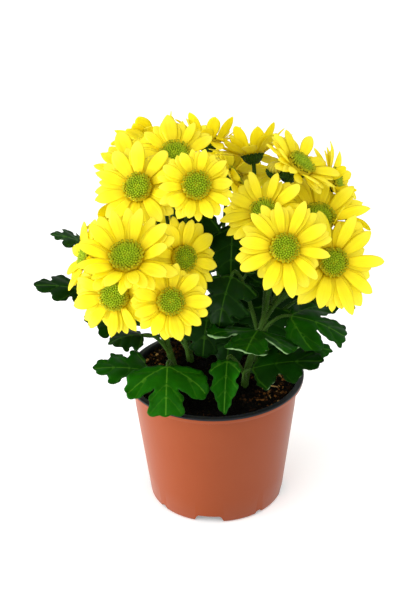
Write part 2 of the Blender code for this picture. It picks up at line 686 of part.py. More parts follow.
def disc_mesh(bloom: Bloom) -> Mesh:
    """The green disc: a low dome whose rings of florets stand up in turn as relief."""
    facing = direction(bloom.azimuth, bloom.elevation)
    level, up = axes_about(facing)
    centre = Vector(bloom.centre)
    rise = bloom.disc * DISC_HEIGHT
    verts = []

    def ring(count: int, radius: float, height: float, relief: float, shift: float) -> None:
        for i in range(count):
            a = 2 * math.pi * (i + shift) / count
            lift = relief if i % 2 else 0.0
            spot = level * (math.cos(a) * radius) + up * (math.sin(a) * radius)
            verts.append(centre + spot + facing * (height + lift))

    sides = DISC_SIDES
    ring(sides, bloom.disc * 0.9, HUB_TOP + GAP, 0.0, 0.0)
    ring(sides, bloom.disc, rise * 0.42, 0.7, 0.0)
    ring(sides, bloom.disc * 0.66, rise * 0.92, 0.7, 0.5)
    ring(sides // 2, bloom.disc * 0.3, rise * 0.92, 0.0, 0.25)
    verts.append(centre + facing * (rise * 1.12))
    faces = [tuple(reversed(range(sides)))]
    for low in (0, sides):
        for i in range(sides):
            j = (i + 1) % sides
            faces.append((low + i, low + j, low + sides + i))
            faces.append((low + j, low + sides + j, low + sides + i))
    low = 2 * sides
    high = 3 * sides
    for i in range(sides // 2):
        j = (i + 1) % (sides // 2)
        a, b, c = low + 2 * i, low + 2 * i + 1, low + (2 * i + 2) % sides
        faces.append((a, b, high + i))
        faces.append((b, c, high + j))
        faces.append((b, high + j, high + i))
    for i in range(sides // 2):
        faces.append((high + i, high + (i + 1) % (sides // 2), len(verts) - 1))
    return verts, faces


@dataclass(frozen=True)
class PetalPose:
    """How one petal leaves the hub."""

    angle: float
    start_rise: float
    end_rise: float
    length: float
    width: float
    twist: float


def petal_stations(bloom: Bloom, pose: PetalPose, height: float) -> List[Tuple]:
    """The petal's cross-sections: place, side vector, normal, half width and keel."""
    facing = direction(bloom.azimuth, bloom.elevation)
    level, up = axes_about(facing)
    out = level * math.cos(pose.angle) + up * math.sin(pose.angle)
    side = facing.cross(out)
    spot = Vector(bloom.centre) + out * (bloom.disc + HUB_MARGIN) + facing * height
    stations = []
    before = 0.0
    for index, share in enumerate(PETAL_STATIONS):
        rise = math.radians(pose.start_rise + (pose.end_rise - pose.start_rise) * (before + share) / 2)
        along = out * math.cos(rise) + facing * math.sin(rise)
        spot = spot + along * (pose.length * (share - before))
        turned = Matrix.Rotation(math.radians(pose.twist * share), 3, along) @ side
        normal = along.cross(turned)
        if normal.dot(facing) < 0:
            normal = -normal
        keel = PETAL_KEELS[index] if index < len(PETAL_KEELS) else 0.0
        stations.append((spot, turned, normal, PETAL_HALF_WIDTHS[index] * pose.width, keel))
        before = share
    return stations


def petal_mesh(root: Tuple[Vector, Vector, Vector], stations: Sequence[Tuple]) -> Mesh:
    """The petal from its three root corners: flat above, a low keel below, blunt at the tip."""
    verts = list(root)
    for spot, side, normal, half, keel in stations[:2]:
        verts += [spot - side * half, spot + side * half, spot - normal * keel]
    spot, side, normal, half, _ = stations[2]
    verts += [spot - side * half, spot + side * half]
    faces = []
    for a, b in ((0, 3), (3, 6)):
        faces += [(a, b, b + 1, a + 1), (a, a + 2, b + 2, b), (a + 1, b + 1, b + 2, a + 2)]
    faces += [(6, 9, 10, 7), (6, 8, 9), (7, 10, 8), (8, 10, 9)]
    return verts, [t for f in faces for t in triangles([f])]


def petal_test(root: Tuple[Vector, Vector, Vector], stations: Sequence[Tuple], near: bool) -> Shape:
    """The petal grown by the clearance; with near False its root third is left out."""
    grow = SEARCH_GAP
    verts = []
    if near:
        middle = (root[0] + root[1]) / 2
        side = stations[0][1]
        half = (root[1] - root[0]).length / 2
        normal = stations[0][2]
        spots = [(middle, side, normal, half, 0.8)] + list(stations)
    else:
        spot, side, normal, half, keel = stations[0]
        middle = ((root[0] + root[1]) / 2).lerp(spot, 0.45)
        spots = [(middle, side, normal, half * 0.8, keel)] + list(stations)
    spots.append((spots[-1][0] + (spots[-1][0] - spots[-2][0]).normalized() * grow, *spots[-1][1:]))
    for spot, side, normal, half, keel in spots:
        wide = side * (half + grow)
        verts += [spot - wide + normal * grow, spot + wide + normal * grow]
        verts += [spot + wide - normal * grow, spot - normal * (keel + grow), spot - wide - normal * grow]
    faces = []
    for ring in range(len(spots) - 1):
        low = ring * 5
        for k in range(5):
            j = (k + 1) % 5
            faces.append((low + k, low + j, low + 5 + j, low + 5 + k))
    faces.append(tuple(range(5)))
    faces.append(tuple(range(len(verts) - 5, len(verts))))
    return Shape(verts, faces)


def rays_mesh(bloom: Bloom, number: int, others: Sequence[Shape]) -> Tuple[Mesh, List[Shape]]:
    """The hub with two staggered rows of petals, each bent clear of everything else."""
    draw = random.Random(SEED * 100 + number)
    facing = direction(bloom.azimuth, bloom.elevation)
    level, up = axes_about(facing)
    centre = Vector(bloom.centre)
    radius = bloom.disc + HUB_MARGIN
    count = bloom.count
    step = 2 * math.pi / count
    offset = draw.uniform(0.0, step)

    def spot(angle: float, height: float, reach: float) -> Vector:
        flat = level * (math.cos(angle) * reach) + up * (math.sin(angle) * reach)
        return centre + flat + facing * height

    verts = []
    for k in range(count):
        verts.append(spot(offset + (k - 0.25) * step, HUB_TOP, radius))
        verts.append(spot(offset + (k + 0.25) * step, HUB_TOP, radius))
    for k in range(count):
        verts.append(spot(offset + k * step, HUB_MIDDLE, radius))
    for k in range(count):
        verts.append(spot(offset + (k + 0.5) * step, HUB_BOTTOM, radius * 0.96))
    mid = 2 * count
    low = 3 * count
    faces = [tuple(range(2 * count)), tuple(low + k for k in reversed(range(count)))]
    roots = []
    for k in range(count):
        j = (k + 1) % count
        faces.append((2 * k + 1, mid + k, 2 * j))
        faces.append((2 * j, mid + k, mid + j))
        faces.append((mid + k, low + (k - 1) % count, low + k))
        roots.append((offset + k * step, HUB_TOP, (2 * k, 2 * k + 1, mid + k), UPPER_ROW))
        roots.append((offset + (k + 0.5) * step, HUB_MIDDLE, (mid + k, mid + j, low + k), LOWER_ROW))
    roots.sort(key=lambda r: -r[1])
    placed_far: List[Shape] = []
    placed: List[Shape] = []
    for angle, height, corners, row in roots:
        length = bloom.ray * draw.uniform(0.92, 1.04)
        reach = radius + length * 0.62
        width = 2 * math.pi * reach / count * PETAL_WIDTH_SHARE * draw.uniform(0.94, 1.04)
        tilt = draw.uniform(-4.0, 4.0)
        droop = draw.uniform(-5.0, 5.0)
        lean = draw.uniform(-2.5, 2.5)
        best = None
        for bend, shrink, slim in petal_options():
            pose = PetalPose(angle + math.radians(lean), row[0] + bloom.cup + tilt + bend,
                             row[1] + bloom.cup + tilt + droop + bend * 1.15, length * shrink,
                             width * slim, 0.0)
            stations = petal_stations(bloom, pose, height)
            root = tuple(verts[i] for i in corners)
            if not clear(petal_test(root, stations, True), others):
                continue
            far = petal_test(root, stations, False)
            if not clear(far, placed_far):
                continue
            best = stations
            placed_far.append(far)
            placed.append(petal_test(root, stations, True))
            break
        a, b, c = corners
        if best is None:
            faces.append((a, c, b))
            continue
        made, parts = petal_mesh(tuple(verts[i] for i in corners), best)
        first = len(verts) - 3
        verts += made[3:]
        names = {0: a, 1: b, 2: c}
        for part in parts:
            faces.append(tuple(names.get(i, first + i) for i in part))
    return (verts, faces), placed


def petal_options() -> List[Tuple[float, float, float]]:
    """Bends, lengths and widths to try, the least change first."""
    options = []
    for bend in (0, 7, -7, 14, -14, 22, -22, 32, -32, 44, -44, 58):
        for shrink in (1.0, 0.9, 0.8, 0.68, 0.55):
            for slim in (1.0, 0.82):
                cost = abs(bend) + (1 - shrink) * 70 + (1 - slim) * 30
                options.append((cost, bend, shrink, slim))
    options.sort()
    return [option[1:] for option in options]


def hub_shape(bloom: Bloom) -> Shape:
    """A plain drum in place of the hub, for the tests."""
    facing = direction(bloom.azimuth, bloom.elevation)
    centre = Vector(bloom.centre)
    radius = bloom.disc + HUB_MARGIN
    path = [centre + facing * HUB_BOTTOM, centre + facing * HUB_TOP]
    return Shape(*tube(path, [radius, radius], 12))


def bud_mesh(bud: Bud) -> Mesh:
    """The young rays of a bud: a pleated dome."""
    facing = direction(bud.azimuth, bud.elevation)
    level, up = axes_about(facing)
    verts = []
    sides = 12
    rows = ((0.0, 0.84, 0.0), (0.45, 1.0, 0.12), (0.95, 0.72, 0.12))
    for height, width, pleat in rows:
        for i in range(sides):
            a = 2 * math.pi * i / sides
            reach = bud.radius * (width - (pleat if i % 2 else 0.0))
            flat = level * (math.cos(a) * reach) + up * (math.sin(a) * reach)
            verts.append(Vector(bud.centre) + flat + facing * (height * bud.radius))
    verts.append(Vector(bud.centre) + facing * bud.radius * 1.15)
    faces = [tuple(reversed(range(sides)))]
    for low in (0, sides):
        for i in range(sides):
            j = (i + 1) % sides
            faces += [(low + i, low + j, low + sides + i), (low + j, low + sides + j, low + sides + i)]
    for i in range(sides):
        faces.append((2 * sides + i, 2 * sides + (i + 1) % sides, len(verts) - 1))
    return verts, faces


def main() -> None:
    """Builds every node."""
    for obj in list(bpy.data.objects):
        bpy.data.objects.remove(obj)
    plastic = material("plastic_terracotta", (0.50, 0.155, 0.07), 0.42)
    peat = material("peat", (0.018, 0.011, 0.008), 0.95)
    green = material("leaf_green", (0.022, 0.11, 0.012), 0.5)
    yellow = material("ray_yellow", (0.96, 0.80, 0.03), 0.55)
    lime = material("disc_green", (0.22, 0.33, 0.02), 0.7)
    young = material("bud_yellow_green", (0.55, 0.58, 0.06), 0.6)
    pot = build_pot(plastic)
    soil = build_soil(peat)
    solid: List[Shape] = []
    for obj in (pot, soil):
        verts = [v.co / METRES for v in obj.data.vertices]
        solid.append(Shape(verts, [tuple(p.vertices) for p in obj.data.polygons]))

    axes = {trunk.name: trunk_axis(trunk) for trunk in TRUNKS}
    tubes: Dict[str, List[Mesh]] = {}
    for trunk in TRUNKS:
        tubes[trunk.name] = [tube(axes[trunk.name], TRUNK_RADII, TRUNK_SIDES)]
    heads: List[Shape] = []
    for bloom in BLOOMS:
        start = point_at_height(axes[bloom.trunk], bloom.fork - 2.0)
        tubes[bloom.trunk].append(bloom_stalk(bloom, start))
        heads.append(Shape(*disc_mesh(bloom)))
        heads.append(hub_shape(bloom))
    for bud in BUDS:
        start = point_at_height(axes[bud.trunk], bud.fork - 2.0)
        tubes[bud.trunk].append(bud_stalk(bud, start))
        heads.append(Shape(*bud_mesh(bud)))
    stalks = {name: [Shape(*m) for m in meshes] for name, meshes in tubes.items()}

    patterns = {kind: blade_pattern(half, rib) for kind, (half, rib) in OUTLINES.items()}
    blades: Dict[str, List[Shape]] = {trunk.name: [] for trunk in TRUNKS}
    for leaf in LEAVES:
        root = point_at_height(axes[leaf.trunk], leaf.height)
        foreign = solid + heads
        for name in stalks:
            if name != leaf.trunk:
                foreign += stalks[name] + blades[name]
        own = stalks[leaf.trunk] + blades[leaf.trunk]
        found = place_leaf(leaf, root, patterns, foreign, own)
        if found is None:
            print("leaf left out", leaf.name)
            continue
        tubes[leaf.trunk].append(found[0])
        blades[leaf.trunk].append(Shape(*found[0]))

    fixed = solid + heads
    for trunk in TRUNKS:
        meshes = tubes[trunk.name]
        made = [add_object(trunk.name + "_piece", mesh, green) for mesh in meshes]
        made[0].name = trunk.name
        made[0].data.name = trunk.name
        boolean(made[0], made[1:], "UNION")
        fixed += stalks[trunk.name] + blades[trunk.name]

    petals: List[Shape] = []
    for number, bloom in enumerate(BLOOMS):
        own_head = heads[2 * number + 1]
        others = [shape for shape in fixed if shape is not own_head] + petals
        mesh, placed = rays_mesh(bloom, number, others)
        petals += placed
        add_object("rays_" + bloom.name, mesh, yellow)
        add_object("disc_" + bloom.name, disc_mesh(bloom), lime)
    for bud in BUDS:
        add_object(bud.name, bud_mesh(bud), young)


main()
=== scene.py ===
"""Pot chrysanthemum, dressed for the photograph.

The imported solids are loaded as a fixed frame. Every solid is then replaced by a finer piece that
keeps its place and its main form: ray florets with grooves and notched tips, discs of small
florets set in a spiral, ribbed stalks with scaly cups, veined leaves with toothed edges, crumbly
peat and the thin two-coloured pot. Lengths are worked out in millimetres and written in metres.
"""

import logging
import math
import random
from dataclasses import dataclass, field
from enum import Enum
from typing import Any, Dict, List, Optional, Sequence, Tuple, Union

import bpy
from mathutils import Matrix, Vector, noise
from mathutils.geometry import delaunay_2d_cdt
from mathutils.kdtree import KDTree


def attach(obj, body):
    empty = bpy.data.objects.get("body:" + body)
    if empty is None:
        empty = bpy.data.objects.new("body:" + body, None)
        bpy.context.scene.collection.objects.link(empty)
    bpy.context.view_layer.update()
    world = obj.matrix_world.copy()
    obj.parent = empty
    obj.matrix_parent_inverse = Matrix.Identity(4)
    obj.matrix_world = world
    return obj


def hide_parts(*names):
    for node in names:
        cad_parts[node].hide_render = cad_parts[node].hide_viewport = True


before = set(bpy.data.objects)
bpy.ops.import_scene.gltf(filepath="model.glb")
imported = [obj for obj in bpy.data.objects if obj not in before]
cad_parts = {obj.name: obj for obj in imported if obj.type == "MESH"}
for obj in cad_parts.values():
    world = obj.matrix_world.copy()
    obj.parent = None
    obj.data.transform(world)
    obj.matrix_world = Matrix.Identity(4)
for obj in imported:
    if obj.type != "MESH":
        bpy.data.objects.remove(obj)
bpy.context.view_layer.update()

LOG = logging.getLogger("chrysanthemum")
METRES = 0.001
GOLDEN_ANGLE = math.pi * (3.0 - math.sqrt(5.0))
UP = Vector((0.0, 0.0, 1.0))

Colour = Tuple[float, float, float]
Point = Tuple[float, float, float]
Face = Tuple[int, ...]
Section = List[Tuple[float, float]]
Line = Tuple[List[Vector], List[float]]
Stops = Tuple[Tuple[float, Colour], ...]
Number = Union["Reading", float]
Node = bpy.types.Node
Socket = bpy.types.NodeSocket


# Nodes and finishes

class Reading:
    """A value socket that takes part in sums: every operator adds one Math node."""

    def __init__(self, graph: "Graph", socket: Socket) -> None:
        """Keeps the graph and the socket."""
        self.graph = graph
        self.socket = socket

    def math(self, operation: str, *others: Number, flip: bool = False) -> "Reading":
        """Adds a Math node.

        Args:
            operation: the Math node's operation.
            others: the other values.
            flip: puts the first other value before this one.

        Returns:
            The result.
        """
        parts = [self, *others]
        if flip:
            parts.reverse()
        made = self.graph.node("ShaderNodeMath", {"operation": operation}, dict(enumerate(parts)))
        return Reading(self.graph, made.outputs[0])

    def __add__(self, other: Number) -> "Reading":
        """Sum."""
        return self.math("ADD", other)

    def __radd__(self, other: float) -> "Reading":
        """Sum, the number first."""
        return self.math("ADD", other, flip=True)

    def __sub__(self, other: Number) -> "Reading":
        """Difference."""
        return self.math("SUBTRACT", other)

    def __rsub__(self, other: float) -> "Reading":
        """Difference, the number first."""
        return self.math("SUBTRACT", other, flip=True)

    def __mul__(self, other: Number) -> "Reading":
        """Product."""
        return self.math("MULTIPLY", other)

    def __truediv__(self, other: Number) -> "Reading":
        """Quotient."""
        return self.math("DIVIDE", other)

    def __pow__(self, other: float) -> "Reading":
        """Power."""
        return self.math("POWER", other)

    def above(self, other: Number) -> "Reading":
        """1 where this is greater than the other, else 0."""
        return self.math("GREATER_THAN", other)

    def below(self, other: Number) -> "Reading":
        """1 where this is less than the other, else 0."""
        return self.math("LESS_THAN", other)

    def ramp(self, low: float, high: float) -> "Reading":
        """Rises smoothly from 0 at low to 1 at high.

        Args:
            low: where it begins.
            high: where it ends.

        Returns:
            The result.
        """
        values = {0: self, 1: low, 2: high}
        made = self.graph.node("ShaderNodeMapRange", {"interpolation_type": "SMOOTHSTEP"}, values)
        return Reading(self.graph, made.outputs[0])


class Graph:
    """Adds nodes to one tree, a material's or a Geometry Nodes one."""

    def __init__(self, tree: bpy.types.NodeTree) -> None:
        """Keeps the tree."""
        self.tree = tree

    def node(self, kind: str, settings: Optional[Dict[str, Any]] = None,
             values: Optional[Dict[Union[int, str], Any]] = None) -> Node:
        """Adds any node.

        Args:
            kind: the node's type.
            settings: what is set first, such as an operation.
            values: numbers or links for the sockets, by number or name.

        Returns:
            The node.
        """
        made = self.tree.nodes.new(kind)
        for name, value in (settings or {}).items():
            setattr(made, name, value)
        for key, value in (values or {}).items():
            if isinstance(value, (Reading, Socket)):
                self.feed(made, key, value)
            else:
                made.inputs[key].default_value = value
        return made

    def feed(self, node: Node, key: Union[int, str], value: Union[Reading, Socket]) -> None:
        """Links a value, colour or vector to one of a node's sockets."""
        socket = value.socket if isinstance(value, Reading) else value
        self.tree.links.new(socket, node.inputs[key])

    def value(self, kind: str, output: Union[int, str], settings: Optional[Dict[str, Any]] = None,
              values: Optional[Dict[Union[int, str], Any]] = None) -> Reading:
        """Adds any node, as node does, and reads one of its outputs as a value."""
        return Reading(self, self.node(kind, settings, values).outputs[output])

    def attribute(self, name: str) -> Reading:
        """A number kept on the piece's points."""
        return self.value("ShaderNodeAttribute", "Fac", {"attribute_name": name})

    def speckle(self, scale: float, detail: float = 2.0, where: Any = None) -> Reading:
        """Noise between 0 and 1.

        Args:
            scale: how fine, per metre on Object coordinates.
            detail: how many finer layers.
            where: coordinates other than the Object ones.

        Returns:
            The noise.
        """
        place = self.object_place() if where is None else where
        values = {"Vector": place, "Scale": scale, "Detail": detail, "Roughness": 0.55}
        return self.value("ShaderNodeTexNoise", "Fac", None, values)

    def object_place(self) -> Socket:
        """The Object coordinates."""
        return self.node("ShaderNodeTexCoord").outputs["Object"]

    def vector(self, x: Any, y: Any, z: Any) -> Socket:
        """Three values as one vector."""
        return self.node("ShaderNodeCombineXYZ", None, {0: x, 1: y, 2: z}).outputs[0]

    def split(self, vector: Socket) -> List[Reading]:
        """The three values of one vector."""
        made = self.node("ShaderNodeSeparateXYZ", None, {0: vector})
        return [Reading(self, socket) for socket in made.outputs]

    def ramp(self, place: Reading, stops: Stops) -> Socket:
        """A colour picked along a ramp.

        Args:
            place: where on the ramp, 0 to 1.
            stops: places with their colours.

        Returns:
            The colour.
        """
        made = self.node("ShaderNodeValToRGB", None, {0: place})
        elements = made.color_ramp.elements
        while len(elements) < len(stops):
            elements.new(0.5)
        for element, (spot, colour) in zip(elements, stops):
            element.position = spot
            element.color = (*colour, 1.0)
        return made.outputs[0]

    def blend(self, share: Any, first: Any, second: Any) -> Socket:
        """Mixes two colours.

        Args:
            share: how much of the second.
            first: a colour or a link.
            second: a colour or a link.

        Returns:
            The mixed colour.
        """
        first = (*first, 1.0) if isinstance(first, tuple) else first
        second = (*second, 1.0) if isinstance(second, tuple) else second
        values = {0: share, 6: first, 7: second}
        return self.node("ShaderNodeMix", {"data_type": "RGBA"}, values).outputs[2]

    def scaled(self, colour: Any, share: Any) -> Socket:
        """A colour or vector made larger or smaller by a value."""
        values = {0: colour, "Scale": share}
        return self.node("ShaderNodeVectorMath", {"operation": "SCALE"}, values).outputs[0]

    def relief(self, shader: Node, height: Reading, strength: float, depth: float) -> None:
        """Gives a Principled node a bumpy surface, whose depth is in metres."""
        values = {"Height": height, "Strength": strength, "Distance": depth}
        self.feed(shader, "Normal", self.node("ShaderNodeBump", None, values).outputs[0])


@dataclass(frozen=True)
class Finish:
    """One surface finish; each kind paints its own material."""

    name: str
    slot: str
    roughness: float
    shine: float = 0.5
    see_through: float = 0.0
    through: Colour = (0.02, 0.12, 0.004)

    def material(self) -> bpy.types.Material:
        """Builds the material.

        Returns:
            The material.
        """
        made = bpy.data.materials.new(self.name)
        made.use_nodes = True
        made.node_tree.nodes.clear()
        graph = Graph(made.node_tree)
        values = {"Roughness": self.roughness, "Specular IOR Level": self.shine}
        shader = graph.node("ShaderNodeBsdfPrincipled", None, values)
        graph.feed(shader, "Base Color", self.paint(graph, shader))
        surface = shader.outputs[0]
        if self.see_through > 0.0:
            values = {"Color": (*self.through, 1.0)}
            light = graph.node("ShaderNodeBsdfTranslucent", None, values).outputs[0]
            values = {0: self.see_through, 1: surface, 2: light}
            surface = graph.node("ShaderNodeMixShader", None, values).outputs[0]
        graph.node("ShaderNodeOutputMaterial", None, {"Surface": surface})
        return made

    def paint(self, graph: Graph, shader: Node) -> Socket:
        """Adds any varying roughness or bump, and gives the colour."""
        raise NotImplementedError


@dataclass(frozen=True)
class RayYellow(Finish):
    """Ray florets: lemon yellow, golden at the root (partly painted shade), with fine lengthwise
    streaks (partly painted highlight).
    """

    # root: golden, partly the petal's own colour and partly painted shade near the disc.
    root: Colour = (0.88, 0.68, 0.006)
    body: Colour = (1.0, 0.905, 0.016)
    # tip: paler, partly painted highlight.
    tip: Colour = (1.0, 0.945, 0.070)
    # below: the underside's lemon, partly its own paler colour and partly painted light.
    below: Colour = (1.0, 0.95, 0.020)
    streaks: Point = (7.0, 1.2, 9.0)
    grain: float = 2600.0

    def paint(self, graph: Graph, shader: Node) -> Socket:
        """Streaks run from root to tip, partly veining and partly painted highlight; the underside
        is plain.

        Args:
            graph: the material's graph.
            shader: the Principled node.

        Returns:
            The colour.
        """
        along, across = graph.attribute("along"), graph.attribute("across")
        tone, under = graph.attribute("tone"), graph.attribute("under")
        wide, long, deep = self.streaks
        spot = graph.vector(across * wide + tone * 31.0, along * long, tone * deep)
        lines = graph.speckle(1.0, 2.0, spot)
        # Golden towards the root: partly the petal's own colour, partly painted shade near the
        # disc.
        colour = graph.blend(along.ramp(0.02, 0.34), self.root, self.body)
        # Paler towards the tip: partly painted highlight.
        colour = graph.blend(along.ramp(0.45, 1.0), colour, self.tip)
        # The underside's lighter lemon is partly painted light.
        colour = graph.blend(under * 0.8, colour, self.below)
        graph.relief(shader, lines + graph.speckle(self.grain, 1.0) * 0.15, 0.35, 0.0005)
        # The streaks lighten the colour: partly veining, partly painted highlight along the ribs.
        return graph.scaled(colour, lines * 0.34 + tone * 0.10 + 0.78)


@dataclass(frozen=True)
class DiscGreen(Finish):
    """Disc florets: green in the middle, yellower towards the rim."""

    stops: Stops = (
        (0.0, (0.32, 0.42, 0.008)), (0.45, (0.23, 0.34, 0.005)),
        (0.80, (0.28, 0.34, 0.005)), (1.0, (0.56, 0.49, 0.008)),
    )
    # hollow: painted shade, darkening the florets low down in the gaps between them.
    hollow: Colour = (0.055, 0.085, 0.002)

    def paint(self, graph: Graph, shader: Node) -> Socket:
        """Each floret has its own tone; painted shade darkens it low down, in the gaps between
        florets.

        Args:
            graph: the material's graph.
            shader: the Principled node; not used.

        Returns:
            The colour.
        """
        colour = graph.ramp(graph.attribute("ring"), self.stops)
        # Painted shade in the gaps between the florets.
        colour = graph.blend(1.0 - graph.attribute("lift").ramp(0.0, 0.75), colour, self.hollow)
        return graph.scaled(colour, graph.attribute("tone") * 0.3 + 0.88)


@dataclass(frozen=True)
class BudYellow(Finish):
    """Young rays of a bud: yellow-green with a yellow crown."""

    foot: Colour = (0.13, 0.18, 0.006)
    crown: Colour = (0.50, 0.42, 0.012)

    def paint(self, graph: Graph, shader: Node) -> Socket:
        """Green below, yellow at the crown, with painted shade in the folds.

        Args:
            graph: the material's graph.
            shader: the Principled node; not used.

        Returns:
            The colour.
        """
        along, fold = graph.attribute("along"), graph.attribute("across")
        colour = graph.blend(along.ramp(0.1, 0.9), self.foot, self.crown)
        # Painted shade: darker where the folds sink in.
        return graph.scaled(colour, 0.42 + fold * 0.45 + graph.speckle(600.0) * 0.25)


@dataclass(frozen=True)
class LeafGreen(Finish):
    """Leaf blades: dark green with lighter veins above, grey-green below."""

    deep: Colour = (0.0030, 0.019, 0.0012)
    lighter_green: Colour = (0.0080, 0.090, 0.0010)
    vein: Colour = (0.085, 0.26, 0.016)
    below: Colour = (0.20, 0.33, 0.14)
    patches: float = 55.0
    # mottle: light and dark patches, partly the leaf's own tone and partly painted highlight.
    mottle: float = 170.0
    skin: float = 900.0

    def paint(self, graph: Graph, shader: Node) -> Socket:
        """Tone varies over the blade and from leaf to leaf, where the inner leaves' darker tone is
        painted shade; the mottle is partly painted highlight; veins and skin stand in relief.

        Args:
            graph: the material's graph.
            shader: the Principled node.

        Returns:
            The colour.
        """
        vein, under = graph.attribute("vein"), graph.attribute("under")
        tone, rank = graph.attribute("tone"), graph.attribute("rank")
        broad, fine = graph.speckle(self.patches, 3.0), graph.speckle(self.skin, 2.0)
        mottle = graph.speckle(self.mottle, 2.0)
        share = (broad.ramp(0.3, 0.75) * 0.3 + tone * 0.7).ramp(0.0, 1.0)
        upper = graph.blend(share, self.deep, self.lighter_green)
        line = vein.ramp(0.50, 1.0) * rank
        upper = graph.blend(line * (tone * 0.45 + 0.30), upper, self.vein)
        lower = graph.scaled(graph.blend(vein * 0.4, self.below, self.vein), 0.75 + broad * 0.4)
        graph.relief(shader, fine * 0.5 - vein * 0.8, 0.3, 0.0004)
        graph.feed(shader, "Roughness", fine * 0.16 + 0.34 + under * 0.25)
        colour = graph.blend(under.ramp(0.3, 0.8), upper, lower)
        # The mottle brightens the colour in patches: partly painted highlight.
        return graph.scaled(colour, fine * 0.3 + mottle * 0.6 + 0.56)


@dataclass(frozen=True)
class StalkGreen(Finish):
    """Stalks, leaf stalks and cup scales."""

    deep: Colour = (0.008, 0.035, 0.0025)
    light: Colour = (0.048, 0.110, 0.010)

    def paint(self, graph: Graph, shader: Node) -> Socket:
        """Mottled green with fine down.

        Args:
            graph: the material's graph.
            shader: the Principled node.

        Returns:
            The colour.
        """
        broad, fine = graph.speckle(70.0, 3.0), graph.speckle(1500.0, 2.0)
        graph.relief(shader, fine, 0.25, 0.0003)
        return graph.blend(broad * 0.7 + fine * 0.3, self.deep, self.light)


@dataclass(frozen=True)
class DownPale(Finish):
    """Fine pale hairs on the stalks."""

    root: Colour = (0.08, 0.16, 0.04)
    end: Colour = (0.36, 0.44, 0.24)

    def paint(self, graph: Graph, shader: Node) -> Socket:
        """Green at the root, pale at the end."""
        share = graph.attribute("lift") * 0.8 + graph.speckle(400.0) * 0.2
        return graph.blend(share, self.root, self.end)


@dataclass(frozen=True)
class Peat(Finish):
    """Potting soil: nearly black, with brown and rusty crumbs."""

    stops: Stops = (
        (0.0, (0.0012, 0.0009, 0.0006)), (0.42, (0.003, 0.002, 0.001)),
        (0.64, (0.030, 0.012, 0.004)), (0.84, (0.17, 0.065, 0.014)), (1.0, (0.42, 0.25, 0.09)),
    )

    def paint(self, graph: Graph, shader: Node) -> Socket:
        """The tone picks the crumb's colour; fine noise roughens it.

        Args:
            graph: the material's graph.
            shader: the Principled node.

        Returns:
            The colour.
        """
        tone, fine = graph.attribute("tone"), graph.speckle(1800.0, 4.0)
        graph.relief(shader, fine, 0.6, 0.0006)
        return graph.ramp(tone + (fine - 0.5) * 0.35, self.stops)


@dataclass(frozen=True)
class PotPlastic(Finish):
    """Moulded plastic: terracotta outside, black inside and over the lip; the black on the recessed
    underside is painted shade.
    """

    outside: Colour = (0.240, 0.045, 0.0085)
    dusty: Colour = (0.255, 0.052, 0.012)
    inside: Colour = (0.006, 0.007, 0.010)
    lip_height: float = 90.1
    # underside: the height above which the black begins; inside the foot ring, on the recessed
    # underside, that black is painted shade.
    underside: float = 0.5
    foot_radius: float = 45.9
    slope: float = 10.5 / 86.9
    sheet: float = 0.95

    def paint(self, graph: Graph, shader: Node) -> Socket:
        """The colours part at the lip's edge and near the wall's inner face; the black also covers
        the recessed underside and the foot ring's inner faces as painted shade.

        Args:
            graph: the material's graph.
            shader: the Principled node.

        Returns:
            The colour.
        """
        x, y, z = graph.split(graph.object_place())
        reach = (x * x + y * y) ** 0.5
        wall = z * self.slope + (self.foot_radius - self.sheet) * METRES
        # Black inside the wall is the pot's own inner layer; on the recessed underside and the foot
        # ring's inner faces it is painted shade.
        inner = reach.below(wall) * z.above(self.underside * METRES)
        black = inner.math("MAXIMUM", z.above(self.lip_height * METRES))
        broad, fine = graph.speckle(24.0, 3.0), graph.speckle(2400.0, 1.0)
        colour = graph.blend(broad.ramp(0.35, 0.8) * 0.5, self.outside, self.dusty)
        colour = graph.blend(black, colour, self.inside)
        graph.feed(shader, "Roughness", broad * 0.14 + 0.27 - black * 0.02)
        graph.relief(shader, fine, 0.05, 0.0002)
        return graph.scaled(colour, fine * 0.06 + 0.97)


@dataclass(frozen=True)
class FloorWhite(Finish):
    """The plain pale floor."""

    tint: Colour = (0.97, 0.97, 0.97)
    glow_tint: Colour = (1.0, 0.995, 0.985)
    glow: float = 0.2

    def paint(self, graph: Graph, shader: Node) -> Socket:
        """One pale colour with hardly any grain; it glows a little, as a lit table does.

        Args:
            graph: the material's graph.
            shader: the Principled node.

        Returns:
            The colour.
        """
        shader.inputs["Emission Color"].default_value = (*self.glow_tint, 1.0)
        shader.inputs["Emission Strength"].default_value = self.glow
        return graph.scaled(self.tint, graph.speckle(3.0) * 0.01 + 0.995)


# Meshes

@dataclass
class Patch:
    """A growing mesh in millimetres with named numbers on its points."""

    verts: List[Vector] = field(default_factory=list)
    faces: List[Face] = field(default_factory=list)
    numbers: Dict[str, List[float]] = field(default_factory=dict)

    def add(self, verts: Sequence[Vector], faces: Sequence[Face],
            **numbers: Sequence[float]) -> None:
        """Adds a part.

        Args:
            verts: its points.
            faces: its faces, counted from its own first point.
            numbers: one list of numbers for each name, as long as verts.
        """
        first = len(self.verts)
        self.verts.extend(verts)
        self.faces.extend(tuple(first + i for i in face) for face in faces)
        for name, values in numbers.items():
            self.numbers.setdefault(name, []).extend(values)

    def mesh(self, name: str, smooth: bool = True) -> bpy.types.Mesh:
        """Writes it as a mesh in metres.

        Args:
            name: the mesh's name.
            smooth: whether its faces are shaded smooth.

        Returns:
            The mesh.
        """
        made = bpy.data.meshes.new(name)
        made.from_pydata([tuple(v * METRES) for v in self.verts], [], self.faces)
        for label, values in self.numbers.items():
            made.attributes.new(label, "FLOAT", "POINT").data.foreach_set("value", values)
        if smooth:
            made.shade_smooth()
        made.validate()
        return made


